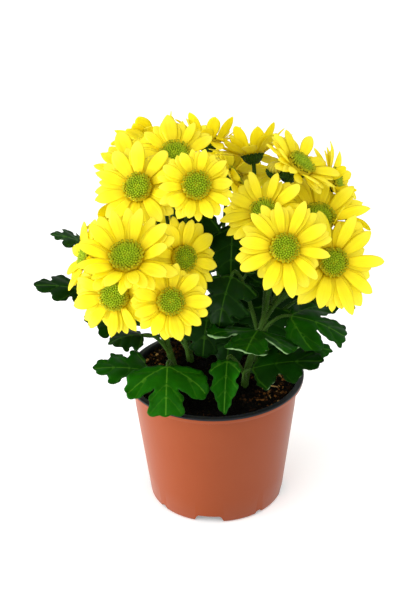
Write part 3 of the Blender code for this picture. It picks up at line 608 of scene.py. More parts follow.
def add_object(name: str, data: bpy.types.ID) -> bpy.types.Object:
    """Puts a new object into the scene.

    Args:
        name: its name.
        data: its mesh, light or camera.

    Returns:
        The object.
    """
    made = bpy.data.objects.new(name, data)
    bpy.context.scene.collection.objects.link(made)
    return made


class Dresser:
    """Keeps the finishes with their materials, and makes meshes pieces of the part."""

    def __init__(self, *finishes: Finish) -> None:
        """Builds the materials, by finish name."""
        self.finishes = {finish.name: finish for finish in finishes}
        self.paint = {finish.name: finish.material() for finish in finishes}

    def place(self, name: str, mesh: bpy.types.Mesh, finish: str, *nodes: str) -> None:
        """Makes a mesh a piece of the part.

        Args:
            name: the piece's name.
            mesh: its mesh, in metres.
            finish: the name of its finish.
            nodes: the solids that it stands for.
        """
        mesh.materials.clear()
        mesh.materials.append(self.paint[finish])
        piece = add_object(name, mesh)
        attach(piece, "root")
        if nodes:
            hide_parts(*nodes)
        LOG.info("%s: %d faces", name, len(mesh.polygons))


def direction(azimuth: float, elevation: float) -> Vector:
    """Unit vector: degrees from the camera's side towards +X, and above the horizon."""
    a, e = math.radians(azimuth), math.radians(elevation)
    return Vector((math.sin(a) * math.cos(e), -math.cos(a) * math.cos(e), math.sin(e)))


def level_side(way: Vector) -> Vector:
    """A level unit vector to the right of a direction, or +X for an upright one."""
    side = way.cross(UP)
    return side.normalized() if side.length > 1e-3 else Vector((1, 0, 0))


def axes_about(axis: Vector) -> Tuple[Vector, Vector]:
    """Two unit vectors square to an axis.

    Args:
        axis: the axis.

    Returns:
        A level one, and one that points up.
    """
    level = UP.cross(axis)
    level = level.normalized() if level.length > 1e-3 else Vector((1, 0, 0))
    return level, axis.cross(level).normalized()


def stand_on(centre: Vector, facing: Vector) -> Matrix:
    """Stands a shape on a place.

    Args:
        centre: the place, in millimetres.
        facing: where the shape's Z points.

    Returns:
        The matrix, in metres.
    """
    level, up = axes_about(facing)
    turn = Matrix((level, up, facing)).transposed().to_4x4()
    turn.translation = centre * METRES
    return turn


def bezier(a: Vector, b: Vector, c: Vector, d: Vector, t: float) -> Vector:
    """Point on a cubic curve."""
    u = 1 - t
    return a * (u * u * u) + b * (3 * u * u * t) + c * (3 * u * t * t) + d * (t * t * t)


def catmull(points: Sequence[Vector], steps: int) -> List[Vector]:
    """A smooth line through points.

    Args:
        points: the points to pass.
        steps: how many pieces each stretch is cut into.

    Returns:
        The finer line.
    """
    result = []
    for i in range(len(points) - 1):
        p1, p2 = points[i], points[i + 1]
        p0 = points[i - 1] if i else p1 + (p1 - p2) * 0.5
        p3 = points[i + 2] if i + 2 < len(points) else p2 + (p2 - p1) * 0.5
        for k in range(steps):
            t = k / steps
            result.append(0.5 * ((2 * p1) + (p2 - p0) * t + (2 * p0 - 5 * p1 + 4 * p2 - p3) * t * t
                                 + (3 * p1 - p0 - 3 * p2 + p3) * t ** 3))
    result.append(points[-1].copy())
    return result


def node_points(name: str) -> List[Vector]:
    """A solid's points in millimetres, without doubles.

    Args:
        name: the solid's name.

    Returns:
        The points.
    """
    seen = {}
    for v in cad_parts[name].data.vertices:
        seen.setdefault(tuple(round(c * 1e5) for c in v.co), v.co / METRES)
    return list(seen.values())


def point_tree(points: Sequence[Vector]) -> KDTree:
    """Sorts points for quick searches.

    Args:
        points: flat or solid points.

    Returns:
        The tree, which numbers them in order.
    """
    tree = KDTree(len(points))
    for i, p in enumerate(points):
        tree.insert(p.to_3d(), i)
    tree.balance()
    return tree


# Trees for what repeats

class Grower:
    """Builds Geometry Nodes trees and turns what they make into plain meshes."""

    def __init__(self, name: str, **inputs: Union[int, float]) -> None:
        """Starts a tree, whose last input is its Material.

        Args:
            name: the tree's name.
            inputs: each input's name and default, a whole number for an Integer input.
        """
        self.tree = bpy.data.node_groups.new(name, "GeometryNodeTree")
        face = self.tree.interface
        for in_out in ("INPUT", "OUTPUT"):
            face.new_socket("Geometry", in_out=in_out, socket_type="NodeSocketGeometry")
        for label, start in inputs.items():
            kind = "NodeSocketInt" if isinstance(start, int) else "NodeSocketFloat"
            face.new_socket(label, in_out="INPUT", socket_type=kind).default_value = start
        face.new_socket("Material", in_out="INPUT", socket_type="NodeSocketMaterial")
        self.graph = Graph(self.tree)
        self.source = self.graph.node("NodeGroupInput")

    def made(self, kind: str, settings: Optional[Dict[str, Any]] = None, **values: Any) -> Socket:
        """Adds any node, with _ for a space in its sockets' names, and gives its first output."""
        named = {key.replace("_", " "): value for key, value in values.items()}
        return self.graph.node(kind, settings, named).outputs[0]

    def given(self, name: str) -> Reading:
        """One of the tree's inputs."""
        return Reading(self.graph, self.source.outputs[name])

    def base(self) -> Socket:
        """The mesh that the tree starts from."""
        return self.source.outputs["Geometry"]

    def number(self, name: str) -> Reading:
        """A number kept on the points."""
        settings = {"data_type": "FLOAT"}
        return self.graph.value("GeometryNodeInputNamedAttribute", 0, settings, {"Name": name})

    def index(self) -> Reading:
        """Each point's own number in the row."""
        return self.graph.value("GeometryNodeInputIndex", 0)

    def spot(self) -> List[Reading]:
        """Where each point is, as x, y and z."""
        return self.graph.split(self.made("GeometryNodeInputPosition"))

    def chance(self, low: float, high: float, seed: Any) -> Reading:
        """A random number for each point."""
        values = {2: low, 3: high, "Seed": seed}
        return self.graph.value("FunctionNodeRandomValue", 1, {"data_type": "FLOAT"}, values)

    def turned(self, x: Number, y: Number, z: Number) -> Socket:
        """A rotation from three angles."""
        return self.made("FunctionNodeEulerToRotation", Euler=self.graph.vector(x, y, z))

    def aimed(self, way: Socket) -> Socket:
        """A rotation that points +Z along a direction."""
        return self.made("FunctionNodeAlignRotationToVector", {"axis": "Z"}, Vector=way)

    def ball(self) -> Socket:
        """A coarse ball of unit size."""
        return self.made("GeometryNodeMeshIcoSphere", Radius=1.0, Subdivisions=1)

    def scatter(self) -> Node:
        """Points spread over the base mesh, as the inputs Density and Seed say."""
        values = {"Mesh": self.base(), "Density": self.given("Density"), "Seed": self.given("Seed")}
        return self.graph.node("GeometryNodeDistributePointsOnFaces", None, values)

    def copies(self, points: Socket, shape: Socket, rotation: Socket, scale: Socket,
               **chosen: Reading) -> Socket:
        """Puts a copy of a shape on every point, or only where a Selection says."""
        return self.made("GeometryNodeInstanceOnPoints", Points=points, Instance=shape,
                         Rotation=rotation, Scale=scale, **chosen)

    def joined(self, *parts: Socket) -> Socket:
        """Joins geometries.

        Args:
            parts: the geometries.

        Returns:
            All of them as one.
        """
        whole = self.graph.node("GeometryNodeJoinGeometry")
        for part in parts:
            self.graph.feed(whole, 0, part)
        return whole.outputs[0]

    def keep(self, geometry: Socket, name: str, value: Reading) -> Socket:
        """Stores a number on the points."""
        settings = {"data_type": "FLOAT", "domain": "POINT"}
        return self.made("GeometryNodeStoreNamedAttribute", settings, Geometry=geometry,
                         Name=name, Value=value)

    def smooth(self, geometry: Socket) -> Socket:
        """Shades a mesh smooth."""
        return self.made("GeometryNodeSetShadeSmooth", Geometry=geometry)

    def finish(self, geometry: Socket) -> None:
        """Ends the tree in Realize Instances and Set Material.

        Args:
            geometry: what the tree has made.
        """
        whole = self.made("GeometryNodeRealizeInstances", Geometry=geometry)
        whole = self.made("GeometryNodeSetMaterial", Geometry=whole,
                          Material=self.given("Material"))
        self.graph.node("NodeGroupOutput", None, {0: whole})

    def grow(self, name: str, base: Optional[bpy.types.Mesh], **settings: Any) -> bpy.types.Mesh:
        """Runs the tree once.

        Args:
            name: the new mesh's name.
            base: the mesh that the tree starts from.
            settings: the inputs.

        Returns:
            A plain mesh.
        """
        holder = add_object(name, base or bpy.data.meshes.new(name + "_base"))
        modifier = holder.modifiers.new("grow", "NODES")
        modifier.node_group = self.tree
        for item in self.tree.interface.items_tree:
            if item.item_type == "SOCKET" and item.in_out == "INPUT" and item.name in settings:
                modifier[item.identifier] = settings[item.name]
        graph = bpy.context.evaluated_depsgraph_get()
        made = bpy.data.meshes.new_from_object(holder.evaluated_get(graph))
        made.name = name
        holder.modifiers.clear()
        bpy.data.objects.remove(holder)
        return made


class FloretGrower(Grower):
    """Small disc florets set in a spiral over a low dome."""

    def __init__(self) -> None:
        """Builds the tree: radius and rise are in metres."""
        super().__init__("disc_florets", Count=170, Radius=0.009, Rise=0.003, Seed=1)
        g = self.graph
        count, radius, rise = self.given("Count"), self.given("Radius"), self.given("Rise")
        share = ((self.index() + 0.5) / count) ** 0.5
        turn = self.index() * GOLDEN_ANGLE
        x, y = turn.math("COSINE") * share, turn.math("SINE") * share
        dome = (1.0 - share * share) ** 0.5 * 0.75 + 0.25 - (1.0 - share) ** 3.0 * 0.25
        place = g.vector(x * radius, y * radius, dome * rise)
        points = self.made("GeometryNodePoints", Count=count, Position=place)
        points = self.keep(points, "ring", share)
        points = self.keep(points, "tone", self.chance(0.0, 1.0, self.given("Seed")))
        aim = self.aimed(g.vector(x * 0.55, y * 0.55, 1.0))
        swell = share.ramp(0.2, 0.7) * 0.12 + 0.88 + self.chance(-0.08, 0.08, 3)
        size = swell * radius * 0.106
        opened = (share + self.chance(-0.1, 0.1, 4)).above(0.86)
        slim, wide = g.vector(size, size, size * 1.5), size * 0.95
        closed = self.copies(points, self.bead(), aim, slim, Selection=1.0 - opened)
        flared = self.copies(points, self.trumpet(), aim, g.vector(wide, wide, size * 1.9),
                             Selection=opened)
        self.finish(self.joined(closed, flared))

    def marked(self, geometry: Socket, low: float, high: float) -> Socket:
        """Keeps how high each point is, 0 at low and 1 at high, and shades smooth."""
        kept = self.keep(geometry, "lift", (self.spot()[2] - low) / (high - low))
        return self.smooth(kept)

    def bead(self) -> Socket:
        """One closed floret of unit size: a round bead."""
        ball = self.made("GeometryNodeMeshUVSphere", Segments=7, Rings=5, Radius=1.0)
        return self.marked(ball, -0.4, 1.0)

    def trumpet(self) -> Socket:
        """One open floret of unit size: a five-sided flared tube with a hollow mouth.

        Returns:
            The floret.
        """
        g = self.graph
        tall, deep = 1.3, 0.45
        cone = g.node("GeometryNodeMeshCone", None, {
            "Vertices": 5, "Radius Top": 1.0, "Radius Bottom": 0.5, "Depth": tall})
        inner = g.node("GeometryNodeExtrudeMesh", {"mode": "FACES"}, {
            "Mesh": cone.outputs["Mesh"], "Selection": cone.outputs["Top"], "Offset Scale": 0.05})
        mouth = inner.outputs["Top"]
        sunk = self.made("GeometryNodeScaleElements", {"domain": "FACE"}, Scale=0.5,
                         Geometry=inner.outputs["Mesh"], Selection=mouth)
        down = self.made("GeometryNodeSetPosition", Geometry=sunk, Selection=mouth,
                         Offset=(0.0, 0.0, -deep))
        return self.marked(down, 0.0, tall)


class ScaleGrower(Grower):
    """The cup of overlapping scales under every bloom and bud of one stem."""

    ROWS = ((0.70, -0.50, 1.0, 0.0), (0.84, -0.24, 1.0, 0.5), (0.52, -0.68, 0.85, 0.25))
    SCALE_SIZE = (0.07, 0.15, 0.30)
    TILT = 0.62

    def __init__(self) -> None:
        """Builds the tree: its base mesh has a point for each cup with its size and turn.

        Each row has its reach, height, size and shift as shares of the cup's radius or pitch.
        """
        super().__init__("cup_scales", Scales=17)
        g = self.graph
        count, rings = self.given("Scales"), []
        for reach, height, size, shift in self.ROWS:
            turn = (self.index() + shift) * (2.0 * math.pi) / count
            out = g.vector(turn.math("COSINE") * reach, turn.math("SINE") * reach, height)
            points = self.made("GeometryNodePoints", Count=count, Position=out)
            scale = g.vector(*(part * size for part in self.SCALE_SIZE))
            rings.append(self.copies(points, self.ball(), self.turned(0.0, self.TILT, turn), scale))
        cup = self.made("GeometryNodeRealizeInstances", Geometry=self.joined(*rings))
        facing = self.made("GeometryNodeInputNamedAttribute", {"data_type": "FLOAT_VECTOR"},
                           Name="facing")
        base, size = self.made("GeometryNodeMeshToPoints", Mesh=self.base()), self.number("size")
        self.finish(self.copies(base, cup, self.aimed(facing), g.vector(size, size, size)))


class StalkGrower(Grower):
    """Ribbed stalks along the edges of the base mesh, as thick as its points say."""

    def __init__(self) -> None:
        """Builds the tree: depth is the ribs' share of the radius."""
        super().__init__("ribbed_stalks", Ribs=5, Depth=0.09, Sides=15)
        sides = self.given("Sides")
        turn = self.index() / sides * (2.0 * math.pi)
        swell = (turn * self.given("Ribs")).math("COSINE") * self.given("Depth")
        circle = self.made("GeometryNodeCurvePrimitiveCircle", Resolution=sides, Radius=1.0)
        offset = self.graph.scaled(self.made("GeometryNodeInputPosition"), swell)
        profile = self.made("GeometryNodeSetPosition", Geometry=circle, Offset=offset)
        line = self.made("GeometryNodeMeshToCurve", Mesh=self.base())
        line = self.made("GeometryNodeSetCurveRadius", Curve=line, Radius=self.number("thick"))
        thick = self.made("GeometryNodeInputRadius")
        whole = self.made("GeometryNodeCurveToMesh", Curve=line, Profile_Curve=profile,
                          Fill_Caps=True, Scale=thick)
        self.finish(self.smooth(whole))


class DownGrower(Grower):
    """Short fine hairs that stand on the base mesh."""

    def __init__(self) -> None:
        """Builds the tree: density is per square metre, sizes are in metres."""
        super().__init__("stalk_down", Density=700000.0, Length=0.0008, Thickness=0.00004, Seed=17)
        scatter = self.scatter()
        bent = self.turned(self.chance(-0.6, 0.6, 31), self.chance(-0.6, 0.6, 32), 0.0)
        values = {0: scatter.outputs["Rotation"], 1: bent}
        aim = self.graph.node("FunctionNodeRotateRotation", {"rotation_space": "LOCAL"}, values)
        thick, tall = self.given("Thickness"), self.given("Length") * self.chance(0.5, 1.0, 33)
        cone = self.made("GeometryNodeMeshCone", Vertices=3, Radius_Top=0.0, Radius_Bottom=1.0,
                         Depth=1.0)
        hair = self.keep(cone, "lift", self.spot()[2])
        self.finish(self.copies(scatter.outputs["Points"], hair, aim.outputs[0],
                                self.graph.vector(thick, thick, tall)))


class CrumbGrower(Grower):
    """Crumbs, bark chips and fibres scattered over the soil."""

    def __init__(self) -> None:
        """Builds the tree: density is per square metre, sizes are in metres."""
        super().__init__("soil_crumbs", Density=60000.0, Smallest=0.0004, Largest=0.0018,
                         Stretch=1.0, Brightest=1.0, Seed=11)
        g = self.graph
        points = self.scatter().outputs[0]
        patch = g.value("ShaderNodeTexNoise", 0, None, {"Scale": 55.0, "Detail": 1.0})
        x = self.spot()[0]
        # Painted light: crumbs are lighter towards the left and right of the pot and darker in its
        # middle under the plant; random patches vary them too.
        sunny = x.ramp(0.012, 0.046) * 0.60 + (0.0 - x).ramp(0.012, 0.040) * 0.45
        painted_light_and_patches = sunny + patch.ramp(0.36, 0.66) * 0.35 + 0.32
        tone = self.chance(0.0, 1.0, 21) ** 1.25 * painted_light_and_patches * self.given("Brightest")
        points = self.keep(points, "tone", tone)
        smallest, rough = self.given("Smallest"), self.chance(0.0, 1.0, 22) ** 3.0
        size = smallest + (self.given("Largest") - smallest) * rough
        shape = g.vector(size * self.given("Stretch"), size * self.chance(0.5, 1.0, 23),
                         size * self.chance(0.4, 1.0, 24))
        turns = self.turned(self.chance(-0.5, 0.5, 25), self.chance(-0.5, 0.5, 26),
                            self.chance(0.0, 6.3, 27))
        self.finish(self.copies(points, self.ball(), turns, shape))


# Pot and soil

@dataclass(frozen=True)
class Pot:
    """The thin pot: tapered wall, turned lip, foot ring, notches and drain holes."""

    height: float = 91.5
    lip_radius: float = 60.0
    lip_drop: float = 4.6
    wall_top_radius: float = 56.4
    foot_radius: float = 45.9
    step_height: float = 84.5
    step_depth: float = 0.7
    sheet: float = 1.1
    floor: float = 4.4
    sides: int = 160
    sharp_angle: float = 40.0
    notches: int = 8
    notch_turn: float = -7.3
    wide_notch: Point = (20.4, 16.4, 5.0)
    small_notch: Point = (6.5, 4.5, 2.7)
    notch_flare: float = 0.25
    cut_below: float = -1.0
    drain_radius: float = 2.4
    drain_ring: float = 38.2
    drain_sides: int = 18

    def wall(self, height: float) -> float:
        """Outer radius of the wall at a height."""
        taper = (self.wall_top_radius - self.foot_radius) / (self.height - self.lip_drop)
        return self.foot_radius + taper * height

    def profile(self) -> Section:
        """Draws the pot's section.

        Returns:
            Radius and height, from the underside's middle round to the floor's.
        """
        under, foot = self.height - self.lip_drop, self.foot_radius - 4.5
        step, edge = self.step_height, self.wall(self.step_height)
        lip, top, mouth = self.lip_radius, self.height, self.wall(self.height)
        corner = self.wall(self.floor)
        return [
            (0.0, 0.0), (16.0, 0.0), (32.6, 0.0), (33.0, 0.3), (34.0, 3.0), (34.6, 3.2),
            (foot - 0.4, 3.2), (foot, 3.0), (foot + 0.6, 0.25), (foot + 0.9, 0.0),
            (44.6, 0.0), (45.3, 0.2), (45.75, 0.7),
            *((self.wall(z), z) for z in (1.2, 20.0, 45.0, 70.0)),
            (self.wall(step - 1.0) - self.step_depth * 0.8, step - 1.0),
            (edge - self.step_depth, step - 0.1), (edge - 0.1, step + 0.3),
            (edge + 0.05, step + 1.0), (self.wall(under) - 0.1, under - 0.5),
            (self.wall(under) + 0.25, under + 0.05), (lip - 1.1, under + 0.55),
            (lip - 0.55, under + 0.85), (lip - 0.3, under + 1.5), (lip, top - 1.2),
            (lip - 0.15, top - 0.5), (lip - 0.7, top - 0.08), (lip - 1.6, top),
            (mouth - 0.6, top - 0.1), (mouth - 1.1, top - 0.6),
            *((self.wall(z) - self.sheet, z) for z in (80.0, 60.0, 40.0, 20.0, 8.0)),
            (self.wall(self.floor + 0.8) - self.sheet, self.floor + 0.8),
            (corner - self.sheet - 0.5, self.floor + 0.1), (corner - 2.4, self.floor),
            (20.0, self.floor), (0.0, self.floor),
        ]

    def build(self, dresser: Dresser) -> None:
        """Builds the pot and puts it in place of its solid.

        Args:
            dresser: makes the piece.
        """
        shell = Patch()
        shell.add(*revolve(self.profile(), self.sides))
        tools = [cutter(i) for i in range(self.notches) for cutter in (self.notch, self.drain)]
        mesh = cut_away(shell, tools)
        mesh.shade_smooth()
        mesh.set_sharp_from_angle(angle=math.radians(self.sharp_angle))
        dresser.place("pot_moulding", mesh, "pot_plastic", "pot")

    def notch(self, number: int) -> Patch:
        """The cutter of one notch in the foot ring.

        Args:
            number: which of the eight; every other one is wide.

        Returns:
            A closed prism.
        """
        low = self.cut_below
        wide, narrow, tall = self.wide_notch if number % 2 == 0 else self.small_notch
        spread = (wide - narrow) / 2 * (tall - low) / tall
        soft = min(1.0, narrow * 0.2)
        right = [(narrow / 2 + spread, low), (narrow / 2 + self.notch_flare, tall - soft),
                 (narrow / 2 - soft, tall)]
        outline = [(-right[0][0], low), *right, *((-x, z) for x, z in right[:0:-1])]
        ring = [Vector((x, -self.drain_ring, z)) for x, z in outline]
        return self.prism(number, ring, Vector((0, -self.foot_radius, 0)))

    def drain(self, number: int) -> Patch:
        """The cutter of the drain hole behind one notch.

        Args:
            number: which of the eight.

        Returns:
            A closed prism.
        """
        ring, size = [], self.drain_radius
        for k in range(self.drain_sides):
            a = 2 * math.pi * k / self.drain_sides
            y = size * math.sin(a) - self.drain_ring + 1.0
            ring.append(Vector((size * math.cos(a), y, self.cut_below)))
        return self.prism(number, ring, Vector((0, 0, self.floor + 3.0)))

    def prism(self, number: int, ring: List[Vector], push: Vector) -> Patch:
        """Stretches a ring of points into a closed shape.

        Args:
            number: which of the eight places it is turned to.
            ring: the points, as they stand at the front.
            push: how far it is stretched.

        Returns:
            The shape.
        """
        degrees = self.notch_turn + 360.0 / self.notches * number
        turn = Matrix.Rotation(math.radians(degrees), 3, "Z")
        count = len(ring)
        faces = [tuple(range(count - 1, -1, -1)), tuple(range(count, 2 * count))]
        for i in range(count):
            j = (i + 1) % count
            faces.append((i, j, count + j, count + i))
        made = Patch()
        made.add([turn @ v for v in ring] + [turn @ (v + push) for v in ring], faces)
        return made


def revolve(profile: Section, sides: int) -> Tuple[List[Vector], List[Face]]:
    """Turns a profile that begins and ends on the axis round +Z.

    Args:
        profile: radius and height, from below to above.
        sides: how many steps round.

    Returns:
        Points and faces, closed and pointing outwards.
    """
    verts = [Vector((0, 0, profile[0][1]))]
    for radius, height in profile[1:-1]:
        for i in range(sides):
            a = 2 * math.pi * i / sides
            verts.append(Vector((radius * math.sin(a), -radius * math.cos(a), height)))
    verts.append(Vector((0, 0, profile[-1][1])))
    rings, last, faces = len(profile) - 2, len(verts) - 1, []
    for i in range(sides):
        j = (i + 1) % sides
        faces.append((0, 1 + j, 1 + i))
        for r in range(rings - 1):
            low, high = 1 + r * sides, 1 + (r + 1) * sides
            faces.append((low + i, low + j, high + j, high + i))
        faces.append((last, 1 + (rings - 1) * sides + i, 1 + (rings - 1) * sides + j))
    return verts, faces


def cut_away(body: Patch, tools: Sequence[Patch]) -> bpy.types.Mesh:
    """Cuts tools out of a shape.

    Args:
        body: the shape.
        tools: closed shapes that don't touch one another, except at cuts.

    Returns:
        What is left.
    """
    group = bpy.data.collections.new("cutters")
    bpy.context.scene.collection.children.link(group)
    made = [bpy.data.objects.new("cutter", tool.mesh("cutter", False)) for tool in tools]
    for obj in made:
        group.objects.link(obj)
    holder = add_object("pot_shell", body.mesh("pot_shell"))
    modifier = holder.modifiers.new("cut", "BOOLEAN")
    modifier.operand_type = "COLLECTION"
    modifier.collection = group
    modifier.operation = "DIFFERENCE"
    modifier.solver = "EXACT"
    graph = bpy.context.evaluated_depsgraph_get()
    result = bpy.data.meshes.new_from_object(holder.evaluated_get(graph))
    holder.modifiers.clear()
    for obj in (holder, *made):
        bpy.data.objects.remove(obj)
    bpy.data.collections.remove(group)
    return result


@dataclass(frozen=True)
class Soil:
    """The peat: a lumpy top, mounded round the stems, with crumbs and fibres."""

    pot: Pot
    top: float = 87.0
    floor_gap: float = 0.3
    wall_gap: float = 0.36
    lump: float = 2.6
    grit: float = 0.8
    crown: float = 1.2
    rim_dip: float = 1.6
    rim_start: float = 0.86
    heaps: Tuple[Tuple[float, float], ...] = ((-38.0, 34.0), (-16.0, 48.0), (46.0, -14.0))
    heap_rise: float = 3.3
    heap_spread: float = 380.0
    rings: int = 44
    sides: int = 132
    fibre_rings: int = 4

    def heap_share(self, x: float, y: float) -> float:
        """How much of a heap stands at a place, from 0 to 1."""
        return sum(math.exp(-((x - cx) ** 2 + (y - cy) ** 2) / self.heap_spread)
                   for cx, cy in self.heaps)

    def surface_height(self, x: float, y: float, share: float) -> float:
        """Height of the surface.

        Args:
            x: place in millimetres.
            y: place in millimetres.
            share: 0 in the middle, 1 at the wall.

        Returns:
            The height.
        """
        rough = noise.fractal(Vector((x, y, 4.0)) * 0.09, 0.9, 2.0, 5) * self.lump
        fine = noise.noise(Vector((x, y, 9.0)) * 0.5) * self.grit
        heap = self.heap_share(x, y) * self.heap_rise
        dip = self.rim_dip * max(0.0, share - self.rim_start) / (1.0 - self.rim_start)
        level = self.top + self.crown * (1.0 - share) - dip
        return level + heap + (rough + fine) * (1.0 - share ** 9)

    def tone(self, x: float, y: float) -> float:
        """How light the peat is at a place: lighter in patches and on the heaps."""
        patch = 0.3 * noise.noise(Vector((x, y, 2.0)) * 0.14)
        return 0.25 + patch + 0.26 * self.heap_share(x, y)

    def reach(self, height: float) -> float:
        """How far the peat reaches at a height."""
        return self.pot.wall(height) - self.pot.sheet - self.wall_gap

    def build(self, crumbs: CrumbGrower, dresser: Dresser) -> None:
        """Builds the soil and its crumbs.

        Args:
            crumbs: the tree that scatters them.
            dresser: makes the pieces.
        """
        bottom, reach = self.pot.floor + self.floor_gap, self.reach(self.top)
        low_reach = self.reach(bottom)
        turns = [2 * math.pi * i / self.sides for i in range(self.sides)]
        verts, tones, faces = [], [], []
        for ring in range(self.rings):
            share = (self.rings - ring) / self.rings
            for a in turns:
                x, y = reach * share * math.sin(a), -reach * share * math.cos(a)
                verts.append(Vector((x, y, self.surface_height(x, y, share))))
                tones.append(self.tone(x, y))
        top = len(verts)
        verts.append(Vector((0, 0, self.surface_height(0, 0, 0))))
        for a in turns:
            verts.append(Vector((low_reach * math.sin(a), -low_reach * math.cos(a), bottom)))
        tones += [0.2] * (self.sides + 1)
        inner = (self.rings - 1) * self.sides
        for i in range(self.sides):
            j = (i + 1) % self.sides
            for low in range(0, inner, self.sides):
                high = low + self.sides
                faces.append((low + i, low + j, high + j, high + i))
            faces.append((inner + i, inner + j, top))
            faces.append((top + 1 + i, top + 1 + j, j, i))
        faces.append(tuple(top + 1 + i for i in reversed(range(self.sides))))
        body = Patch()
        body.add(verts, faces, tone=tones)
        dresser.place("peat_bed", body.mesh("peat_bed"), "peat", "soil")
        surface = [face for face in faces if max(face) <= top]
        for name, base, edge, sizes in (
            ("peat_crumbs", "crumb_base", self.sides,
             {"Density": 620000.0, "Smallest": 0.0003, "Largest": 0.0017, "Stretch": 1.1,
              "Brightest": 0.95, "Seed": 11}),
            ("peat_fibres", "fibre_base", self.sides * self.fibre_rings,
             {"Density": 52000.0, "Smallest": 0.0004, "Largest": 0.0011, "Stretch": 5.0,
              "Brightest": 1.15, "Seed": 29}),
        ):
            part = Patch()
            part.add(verts[:top + 1], [face for face in surface if min(face) >= edge])
            mesh = crumbs.grow(name, part.mesh(base), Material=dresser.paint["peat"], **sizes)
            dresser.place(name, mesh, "peat")


# Blooms

@dataclass(frozen=True)
class PetalLine:
    """One solid petal, read as four cross-sections from the hub to the tip."""

    places: Tuple[Vector, ...]
    sides: Tuple[Vector, ...]
    normals: Tuple[Vector, ...]
    half_width: float

    def at(self, t: float) -> Tuple[Vector, Vector, Vector]:
        """Place, side and normal part way along.

        Args:
            t: 0 at the hub, 1 at the solid's blunt tip.

        Returns:
            The three vectors.
        """
        marks = (0.0, 0.42, 0.80, 1.0)
        place = Vector((0, 0, 0))
        for i, mark in enumerate(marks):
            weight = 1.0
            for j, other in enumerate(marks):
                if i != j:
                    weight *= (t - other) / (mark - other)
            place += self.places[i] * weight
        k = max(i for i in range(3) if t >= marks[i] or i == 0)
        blend = min(1.0, (t - marks[k]) / (marks[k + 1] - marks[k]))
        side = self.sides[k].lerp(self.sides[k + 1], blend).normalized()
        normal = self.normals[k].lerp(self.normals[k + 1], blend)
        return place, side, (normal - side * normal.dot(side)).normalized()


